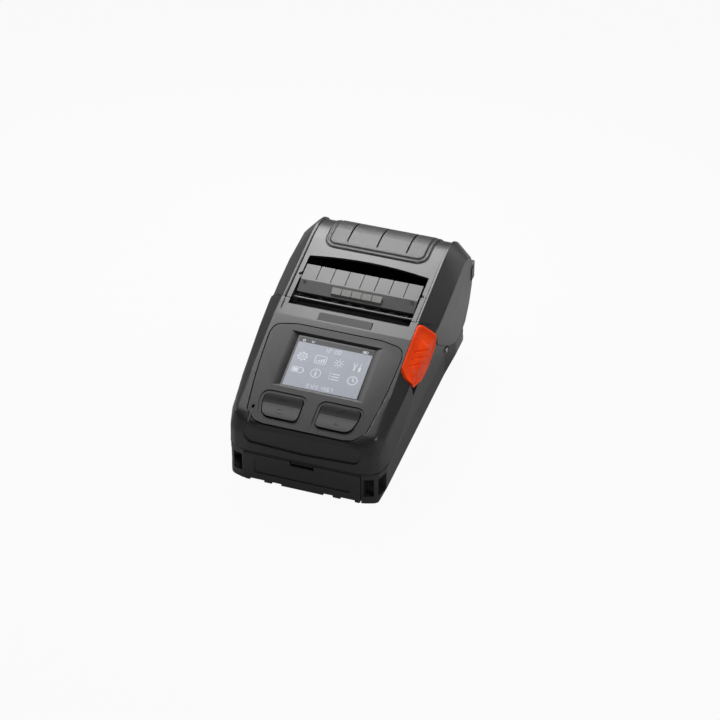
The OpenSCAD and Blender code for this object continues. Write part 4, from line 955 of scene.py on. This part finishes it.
@dataclass
class ControlPanel(Assembly):
    """The display panel with its window, keys and nameplate.

    Attributes:
        origin: The panel's zero in the frame.
        slope: Angle of the panel, in degrees.
        screen: Left, lower, right and upper side of the display, on the panel.
        screen_level: Level of the display's glass.
        status_from: Foot of the status bar.
        painted_shade_margins: Dark margins round the lit field on the left, below, on the right and above;
            they are painted shade of the bezel falling on the display, widest on the left and above.
        rows: Middles of the two rows of signs.
        columns: Middles of the four columns of signs.
        line: Width of a thin line of the signs.
        heading: Text over the signs.
        footing: Text under them.
        keys: Foot, split and head of a pair of keys.
        key_middle: Middle of the right pair, across.
        key_top: Level of the caps' tops before they are tilted.
        cap_levels: Levels above which a cap is tilted, and above which it is drawn in.
        upper_lift: How far the upper key stands up at the split and at its head.
        lower_lift: The same for the lower key at the split and at its foot.
        shrink: Size to which a cap is drawn in, across and along.
        bars: The two ends of each bar of a number, as shares of its width and height.
        lit: The bars that each number from 0 to 9 shows.
    """

    origin: Triple = (0.0, -45.0, 46.81)
    slope: float = 19.0
    screen: tuple[float, float, float, float] = (-20.1, -5.8, 20.1, 24.7)
    screen_level: float = -1.6
    status_from: float = 20.9
    painted_shade_margins: tuple[float, float, float, float] = (1.0, 0.2, 0.4, 1.2)
    rows: Point = (12.6, 4.4)
    columns: tuple[float, ...] = (-14.4, -4.8, 4.8, 14.4)
    line: float = 0.38
    heading: str = "12:00"
    footing: str = "0123 4567"
    keys: Triple = (-26.6, -18.2, -12.7)
    key_middle: float = 14.75
    key_top: float = 0.1
    cap_levels: Point = (-0.4, -1.6)
    upper_lift: Point = (-0.35, 0.25)
    lower_lift: Point = (-0.1, 0.4)
    shrink: Point = (0.98, 0.975)
    bars: ClassVar[dict[str, tuple[Point, Point]]] = {
        "a": ((0, 1), (1, 1)), "b": ((1, 1), (1, 0.5)), "c": ((1, 0.5), (1, 0)), "d": ((0, 0), (1, 0)),
        "e": ((0, 0.5), (0, 0)), "f": ((0, 1), (0, 0.5)), "g": ((0, 0.5), (1, 0.5)),
    }
    lit: ClassVar[tuple[str, ...]] = (
        "abcdef", "bc", "abged", "abgcd", "fgbc", "afgcd", "afgedc", "abc", "abcdefg", "abfgcd",
    )

    def matrix(self) -> Matrix:
        """Give the matrix from panel millimetres to the frame's metres."""
        turned = Matrix.Rotation(math.radians(self.slope), 4, "X")
        return Matrix.Translation(Vector(self.origin) * MM) @ turned @ Matrix.Scale(MM, 4)

    def slab(self, points: Sequence[Point], low: float, high: float) -> BMesh:
        """Build a closed slab with its outline on the panel.

        Args:
            points: Outline, in panel millimetres.
            low: Level of its underside above the panel.
            high: Level of its top.

        Returns:
            The mesh, in metres in the frame.
        """
        bm = bmesh.new()
        face = bm.faces.new([bm.verts.new((x, s, low)) for x, s in points])
        grown = bmesh.ops.extrude_face_region(bm, geom=[face])
        top = [v for v in grown["geom"] if isinstance(v, bmesh.types.BMVert)]
        bmesh.ops.translate(bm, verts=top, vec=(0, 0, high - low))
        bmesh.ops.transform(bm, matrix=self.matrix(), verts=bm.verts)
        return bm

    def drawn(self, strokes: Sequence[Stroke], low: float, high: float, lift: Lift = lambda s: 0.0) -> BMesh:
        """Build closed bars along drawn lines on the panel.

        Args:
            strokes: The lines.
            low: Level of their undersides above the surface.
            high: Level of their tops above the surface.
            lift: Height of the surface, by the place up the panel.

        Returns:
            The mesh, in metres in the frame.
        """
        bm = bmesh.new()
        for stroke in strokes:
            stroke.add_to(bm, low, high, lift)
        bmesh.ops.transform(bm, matrix=self.matrix(), verts=bm.verts)
        return bm

    def icons(self) -> list[Stroke]:
        """Draw two rows of four plain signs.

        Returns:
            The lines.
        """
        spokes, beams = (zip(ring(0, 0, a, 8), ring(0, 0, b, 8)) for a, b in ((2.0, 2.8), (1.7, 2.7)))
        signs = {
            "settings": [
                Stroke(ring(0, 0, 1.9), 1, True),
                Stroke(ring(0, 0, 0.8, 10), 1, True),
                *(Stroke(ends, 1.8) for ends in spokes),
            ],
            "signal": [
                Stroke(rounded_box(0, 0, 2.9, 2.3, 0.5), 1, True),
                *(Stroke([(1.2 * i - 1.8, -1.5), (1.2 * i - 1.8, 0.65 * i - 0.9)], 1.8) for i in range(4)),
            ],
            "light": [Stroke(ring(0, 0, 1.1, 14), 1, True), *(Stroke(ends, 1) for ends in beams)],
            "tools": [
                Stroke([(-1.3, -2.4), (-1.3, 0.9)], 2.2),
                Stroke(ring(-1.3, 1.5, 0.9, 12, 130, 280), 1),
                Stroke([(1.4, -2.4), (1.4, 0)], 3),
                Stroke([(1.4, 0), (1.4, 2.4)], 1),
            ],
            "battery": [
                Stroke(rounded_box(0, 0, 2.8, 1.5, 0.3), 1, True),
                Stroke([(3.1, -0.6), (3.1, 0.6)], 1.6),
                Stroke([(-2.3, 0), (0.4, 0)], 2.0 / self.line),
            ],
            "help": [
                Stroke(ring(0, 0, 2.5, 24), 1, True),
                Stroke([(0, -1.5), (0, 0.5)], 2.4),
                Stroke([(0, 1.0), (0, 1.6)], 2.4),
            ],
            "list": [
                Stroke([(start, y), (end, y)], width)
                for y in (-1.6, 0, 1.6)
                for start, end, width in ((-2.6, -2.1, 2), (-1.3, 2.6, 1.4))
            ],
            "clock": [Stroke(ring(0, 0, 2.4, 24), 1.4, True), Stroke([(0, 1.6), (0, 0), (1.1, -0.5)], 1.4)],
        }
        places = [(x, y) for y in self.rows for x in self.columns]
        return [line.placed(x, y, self.line) for (x, y), sign in zip(places, signs.values()) for line in sign]

    def digits(self, text: str, y: float, high: float) -> list[Stroke]:
        """Draw plain seven-segment numbers in the middle of the display.

        Args:
            text: Digits, colons and spaces.
            y: Foot of the row.
            high: Height of a digit.

        Returns:
            The lines.
        """
        wide, pitch = high * 0.5, high * 0.82
        lines: list[Stroke] = []
        for place, sign in enumerate(text):
            left = pitch * (place - len(text) / 2)
            for level in (0.28, 0.62) if sign == ":" else ():
                middle, foot = left + wide / 2, y + high * level
                lines.append(Stroke([(middle, foot), (middle, foot + self.line)], self.line))
            for bar in self.lit[int(sign)] if sign.isdigit() else "":
                ends = [(left + wide * u, y + high * v) for u, v in self.bars[bar]]
                lines.append(Stroke(ends, self.line * 0.8))
        return lines

    def display(self, bench: Bench) -> None:
        """Build the lit field of the display, its status bar and its signs.

        Args:
            bench: The frame and its tools.
        """
        x0, s0, x1, s1 = self.screen
        low, high = self.screen_level + 0.01, self.screen_level + 0.05
        # The lit field stops short of the window's edges by these margins, so dark strips show round it:
        # painted shade of the bezel, widest on the left and above.
        left, below, right, above = self.painted_shade_margins
        for name, foot, head, finish in (
            ("lcd_field", s0 + below, self.status_from, LCD_GLOW),
            ("lcd_status_bar", self.status_from, s1 - above, LCD_BAR),
        ):
            outline = [(x0 + left, foot), (x1 - right, foot), (x1 - right, head), (x0 + left, head)]
            bench.place(name, self.slab(outline, low, high), "base", finish)
        signs = self.icons() + self.digits(self.heading, self.status_from - 3.2, 2.2)
        signs += self.digits(self.footing, s0 + 1.3, 1.9)
        y = self.status_from + 0.5
        signs.append(Stroke(ring(x0 + 3.6, y + 0.65, 0.6, 10), 0.35, True))
        signs.append(Stroke([(x0 + 7.4, y + 1.2), (x0 + 8.3, y + 0.2), (x0 + 9.2, y + 1.2)], 0.4))
        signs.append(Stroke(rounded_box(x1 - 4.4, y + 0.65, 1.3, 0.6, 0.2), 0.3, True))
        signs.append(Stroke([(x1 - 5.2, y + 0.65), (x1 - 4.0, y + 0.65)], 0.7))
        bench.place("lcd_signs", self.drawn(signs, high - 0.02, high + 0.02), "base", LCD_SYMBOL)

    def tilt(self, upper: bool) -> Lift:
        """Tell how far a key cap stands up: each pair dips to its split.

        Args:
            upper: Whether it is the upper key of its pair.

        Returns:
            The lift, by the place up the panel.
        """
        foot, split, head = self.keys
        end = head if upper else foot
        low, high = self.upper_lift if upper else self.lower_lift
        return lambda s: low + (high - low) * ease((s - split) / (end - split))

    def cap(self, upper: bool) -> Callable[[BMesh], None]:
        """Find the way to shape a key cap: its top tilts and its sides draw in a little.

        Args:
            upper: Whether it is the upper key of its pair.

        Returns:
            What shapes the cap's mesh.
        """
        lift = self.tilt(upper)
        foot, split, head = self.keys
        top, side = self.cap_levels
        centre = (foot + head) / 2

        def carve(bm: BMesh) -> None:
            """Shape the cap.

            Args:
                bm: Its mesh, in metres.
            """
            bmesh.ops.transform(bm, matrix=self.matrix().inverted(), verts=bm.verts)
            mark(bm, lambda f: f.normal.z > 0.9 and f.calc_center_median().z > top)
            rows = steps(split, head, 0.7) if upper else steps(foot, split, 0.7)
            cut_across(bm, (0, 1, 0), [s / MM for s in rows])
            unmark(bm)
            for vert in bm.verts:
                if vert.co.z > top:
                    vert.co.z += lift(vert.co.y)
                if vert.co.z > side:
                    middle = math.copysign(self.key_middle, vert.co.x)
                    vert.co.x = middle + (vert.co.x - middle) * self.shrink[0]
                    vert.co.y = centre + (vert.co.y - centre) * self.shrink[1]
            bmesh.ops.transform(bm, matrix=self.matrix(), verts=bm.verts)

        return carve

    def key_signs(self, bench: Bench) -> None:
        """Stand a small raised sign on each key: back, home, tick and feed.

        Args:
            bench: The frame and its tools.
        """
        k = self.key_middle
        foot, split, head = self.keys
        up, low = (split + head) / 2 + 0.2, (foot + split) / 2 + 0.1
        signs = {
            "left_upper": [
                Stroke([(-1.4, 0.9), (-2.2, 0.1), (-1.4, -0.7)], 0.4).placed(-k, up),
                Stroke([(-2.0, 0.1), (1.2, 0.1), (1.8, -0.8)], 0.4).placed(-k, up),
            ],
            "left_lower": [Stroke(rounded_box(-k, low, 1.3, 1.1, 0.5), 0.4, True)],
            "right_upper": [Stroke([(-1.6, 0), (-0.5, -0.9), (1.7, 1.0)], 0.4).placed(k, up)],
            "right_lower": [Stroke([(-1.2, -0.7), (0, 0.9), (1.2, -0.7)], 0.4, True).placed(k, low)],
        }
        for key, strokes in signs.items():
            upper = key.endswith("upper")
            mesh = self.drawn(strokes, self.key_top - 0.1, self.key_top + 0.12, self.tilt(upper))
            finish = KEY_SILICONE if upper else KEY_SILICONE_GREY
            bench.place(f"key_sign_{key}", mesh, bench.bodies[f"key_{key}"], finish)

    def build(self, bench: Bench) -> None:
        """Build the panel and what it carries.

        Args:
            bench: The frame and its tools.
        """
        bench.refine("control_panel", "panel_moulding", PANEL_ABS, 0.25)
        bench.refine("display_window", "window_pane", WINDOW_ACRYLIC, 0.1)
        self.display(bench)
        bench.refine("nameplate", "nameplate_bare", PLATE_INK, 0.15)
        bench.refine("light_pipe", "status_light_pipe", PIPE_ACRYLIC, 0.15)
        for side in ("left", "right"):
            for end, finish in (("upper", KEY_SILICONE), ("lower", KEY_SILICONE_GREY)):
                carve = self.cap(end == "upper")
                bench.refine(f"key_{side}_{end}", f"key_cap_{side}_{end}", finish, 0.35, carve=carve)
        self.key_signs(bench)


@dataclass
class GripPad(Assembly):
    """The rubber pad over the rear of the cover: a smooth crown with a lip, a groove and three lines.

    Attributes:
        front: Front edge, along the printer.
        half: Half of its width.
        foot: Height of its rear edge.
        corner: Radius of its corners.
        centre: Middle of the crown, as y and z.
        radius: Radius of the pad's outer face on the crown.
        lines: Where the lines across the pad run.
        lines_from: How far behind the front edge they start.
        line_depth: Depth of the lines.
        profile: Levels of the surface against the distance from the edge.
        slope: Outward way of the flat part in front of the crown.
        pitch: Spacing of the cuts along the edges.
    """

    front: float = 36.4
    half: float = 28.0
    foot: float = 33.54
    corner: float = 6.0
    centre: tuple[float, float] = (50.0, 46.4)
    radius: float = 24.2
    lines: tuple[float, ...] = (-16.0, 0.0, 16.0)
    lines_from: float = 5.0
    line_depth: float = 0.5
    profile: tuple[Point, ...] = (
        (0.35, -0.3), (0.8, 0.12), (1.3, 0.12), (1.6, -0.3), (2.1, -0.3), (2.9, 0.3),
    )
    slope: Triple = (0, -0.16, 0.987)
    pitch: float = 0.42

    def along(self, p: Vector) -> tuple[float, Vector]:
        """Unroll a point of the pad.

        Args:
            p: The point.

        Returns:
            Its distance from the front edge along the pad, and the outward way there.
        """
        y, z = p.y - self.centre[0], p.z - self.centre[1]
        flat = self.centre[0] - self.front
        if y < 0:
            return p.y - self.front, Vector(self.slope)
        if z < 0:
            return flat + self.radius * math.pi / 2 - z, Vector((0, 1, 0))
        angle = math.atan2(y, z)
        return flat + self.radius * angle, Vector((0, math.sin(angle), math.cos(angle)))

    def inset(self, x: float, u: float) -> float:
        """Measure how far a place is inside the pad's rounded outline.

        Args:
            x: The place, across.
            u: The place along the pad, from its front edge.

        Returns:
            The distance from the outline.
        """
        length = self.centre[0] - self.front + self.radius * math.pi / 2 + self.centre[1] - self.foot
        across = abs(x) - (self.half - self.corner)
        down = abs(u - length / 2) - (length / 2 - self.corner)
        return self.corner - math.hypot(max(across, 0), max(down, 0)) - min(max(across, down), 0)

    def level(self, x: float, u: float) -> float:
        """Tell the level of the pad's surface at a place.

        Args:
            x: The place, across.
            u: The place along the pad, from its front edge.

        Returns:
            The level.
        """
        d = self.inset(x, u)
        points = self.profile
        height = points[0][1] if d < points[0][0] else points[-1][1]
        for (d0, h0), (d1, h1) in zip(points, points[1:]):
            if d0 <= d < d1:
                height = h0 + (h1 - h0) * ease((d - d0) / (d1 - d0))
        if u > self.lines_from and d > points[-1][0]:
            near = min(abs(x - line) for line in self.lines)
            height -= self.line_depth * (1 - ease((near - 0.1) / 0.3)) * ease((u - self.lines_from) / 1.5)
        return height

    def carve(self, bm: BMesh) -> None:
        """Shape the pad's outer face.

        Args:
            bm: The pad's mesh, in metres.
        """

        def outer(face: BMFace) -> bool:
            """Tell whether a face is on the outside of the pad."""
            return face.normal.dot(self.along(face.calc_center_median() / MM)[1]) > 0.8

        mark(bm, outer)
        rim = steps(self.half - 6.6, self.half - 0.05, self.pitch)
        grooves = [line + side * d for line in self.lines for side in (-1, 1) for d in (0.1, 0.22, 0.4, 0.8)]
        cut_across(bm, (1, 0, 0), [*rim, *[-x for x in rim], *grooves, *steps(-20, 20, 3)])
        cut_across(bm, (0, 1, 0), [*steps(self.front + 0.05, self.front + 7.4, self.pitch), 45.5, 47.5, 49.9])
        middle = (0, *self.centre)
        for angle in steps(2, 88, 3.6):
            turn = math.radians(angle)
            cut_across(bm, (0, math.cos(turn), -math.sin(turn)), [0], middle)
        cut_across(bm, (0, 0, 1), [*steps(self.foot + 0.05, self.foot + 7, self.pitch), 42.5, 44.5, 46.3])

        def move(p: Vector) -> Vector:
            """Find the shift of a point of the outer face.

            Args:
                p: The point.

            Returns:
                The shift.
            """
            u, way = self.along(p)
            shift = way * self.level(p.x, u)
            reach = Vector((0, p.y - self.centre[0], p.z - self.centre[1]))
            if p.y > self.centre[0] and p.z > self.centre[1]:
                shift += way * (self.radius - reach.length)
            elif p.y > self.centre[0]:
                shift += way * (self.radius - reach.y) * ease((p.z - self.foot - 2) / 6)
            return shift

        shape(bm, move)

    def pieces(self) -> list[tuple[Any, ...]]:
        """List the pad."""
        return [("grip_pad", "grip_pad_moulding", GRIP_TPE, 0.3, 50, self.carve)]


class LabelPath(Assembly):
    """What the labels run over: flap, bars and guides."""

    def pieces(self) -> list[tuple[Any, ...]]:
        """List the pieces along the paper path.

        Returns:
            The arguments of Bench.refine for each.
        """
        return [
            ("peeler_flap", "flap_moulding", FLAP_ABS, 0.2),
            ("flap_tab", "flap_tab_segments", FLAP_TAB_ABS, 0.08),
            ("peel_roller", "peel_roller_wheels", INNER_ABS, 0.15),
            ("peel_bar", "peel_bar_ground", PEEL_STEEL, 0.1),
            ("tear_bar", "tear_bar_teeth", TOOTH_ABS, 0.05),
            ("inner_frame", "inner_frame_moulding", INNER_ABS, 0.2),
            ("guide_left", "media_guide_left_moulding", INNER_ABS, 0.25),
            ("guide_right", "media_guide_right_moulding", INNER_ABS, 0.25),
        ]


@dataclass
class ReleaseLever(Assembly):
    """The orange lever on the right shoulder, with a hollowed thumb face and three grooves.

    Attributes:
        rim: Width of the raised rim.
        hollow: Depth of the hollow inside the rim.
        groove: Depth of the grooves.
        lines: The two ends of each groove.
        inward: The way into the printer from the thumb face.
        pocket: A face inside the lever that stays as it is.
        pad_fill: Share of the hollow's depth that the pads between the grooves fill.
        pad_ends: Inner side, rear end and front end of the pads.
        reach: Reach of the cuts along y and z.
        pitch: Spacing of the cuts.
    """

    rim: float = 1.2
    hollow: float = 0.9
    groove: float = 0.6
    lines: tuple[tuple[Sequence[float], Sequence[float]], ...] = (
        ((39.4, -17.4, 54.2), (43.7, -9.3, 50.6)),
        ((39.2, -21.8, 52.9), (43.6, -10.7, 47.2)),
        ((39.8, -25.2, 51.2), (43.4, -14.8, 45.8)),
    )
    inward: Triple = (-0.8, 0.1, -0.6)
    pocket: Triple = (40.0, -9.3, 48.5)
    pad_fill: float = 0.75
    pad_ends: Triple = (40.3, -9.5, -27.0)
    reach: tuple[Point, Point] = ((-32.6, 1.8), (39.1, 60.3))
    pitch: float = 0.4

    def carve(self, bm: BMesh) -> None:
        """Hollow the thumb face and cut the grooves.

        Args:
            bm: The lever's mesh, in metres.
        """
        pocket = Vector(self.pocket)

        def outer(face: BMFace) -> bool:
            """Tell whether a face is on the outside of the lever."""
            return face.normal.x > 0.3 and (face.calc_center_median() / MM - pocket).length > 2.5

        border = mark(bm, outer)
        inward = Vector(self.inward).normalized()
        for a, b in self.lines:
            across = (Vector(b) - Vector(a)).cross(inward).normalized()
            cut_across(bm, across, [side * d for side in (-1, 1) for d in (0.12, 0.28, 0.44, 0.6)], a)
        for way, (low, high) in zip(((0, 1, 0), (0, 0, 1)), self.reach):
            cut_across(bm, way, steps(low, high, self.pitch))

        def flat(p: Sequence[float]) -> Vector:
            """Give a point's place on the thumb face, seen along the way in."""
            return Vector(p) - inward * Vector(p).dot(inward)

        grooves = [(flat(a), flat(b)) for a, b in self.lines]

        def move(p: Vector) -> Vector:
            """Find the shift of a point of the thumb face.

            Args:
                p: The point.

            Returns:
                The shift.
            """
            edge = min(to_segment(p, a, b) for a, b in border)
            line = min(to_segment(flat(p), a, b) for a, b in grooves)
            side, rear, front = self.pad_ends
            pads = ease((p.x - side) / 1.6) * (1 - ease((p.y - rear) / 2)) * ease((p.y - front) / 2.5)
            depth = self.hollow * (1 - self.pad_fill * pads) * ease((edge - self.rim) / 0.7)
            depth += self.groove * (1 - ease((line - 0.12) / 0.48)) * ease((edge - 0.5) / 0.6)
            return inward * depth

        shape(bm, move)

    def pieces(self) -> list[tuple[Any, ...]]:
        """List the lever."""
        return [("release_lever", "lever_moulding", LEVER_ABS, 0.3, 50, self.carve)]


class Underside(Assembly):
    """Battery, belt clip and fastenings."""

    def pieces(self) -> list[tuple[Any, ...]]:
        """List the battery pack, belt clip, pins and screws.

        Returns:
            The arguments of Bench.refine for each.
        """
        return [
            ("battery_pack", "battery_case", SHELL_ABS, 0.25),
            ("battery_latch", "battery_latch_slider", INNER_ABS, 0.25),
            ("belt_clip", "belt_clip_spring", INNER_ABS, 0.3),
            ("belt_clip_screws", "belt_clip_screw_heads", STEEL, 0.15),
            ("housing_screws", "housing_screw_heads", STEEL, 0.15),
            ("strap_pins", "strap_pin_ends", STEEL, 0.3),
        ]


def main() -> None:
    """Build the printer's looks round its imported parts."""
    logging.basicConfig(level=logging.INFO, format="%(name)s %(message)s")
    bench = Bench(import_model())
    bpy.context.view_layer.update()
    Studio().build()
    for finish, nodes in CARRIED.items():
        for node in nodes:
            bench.carry(node, finish)
    for part in (Shells(), ControlPanel(), GripPad(), LabelPath(), ReleaseLever(), Underside()):
        part.build(bench)
    bpy.context.view_layer.update()


if __name__ == "__main__":
    main()
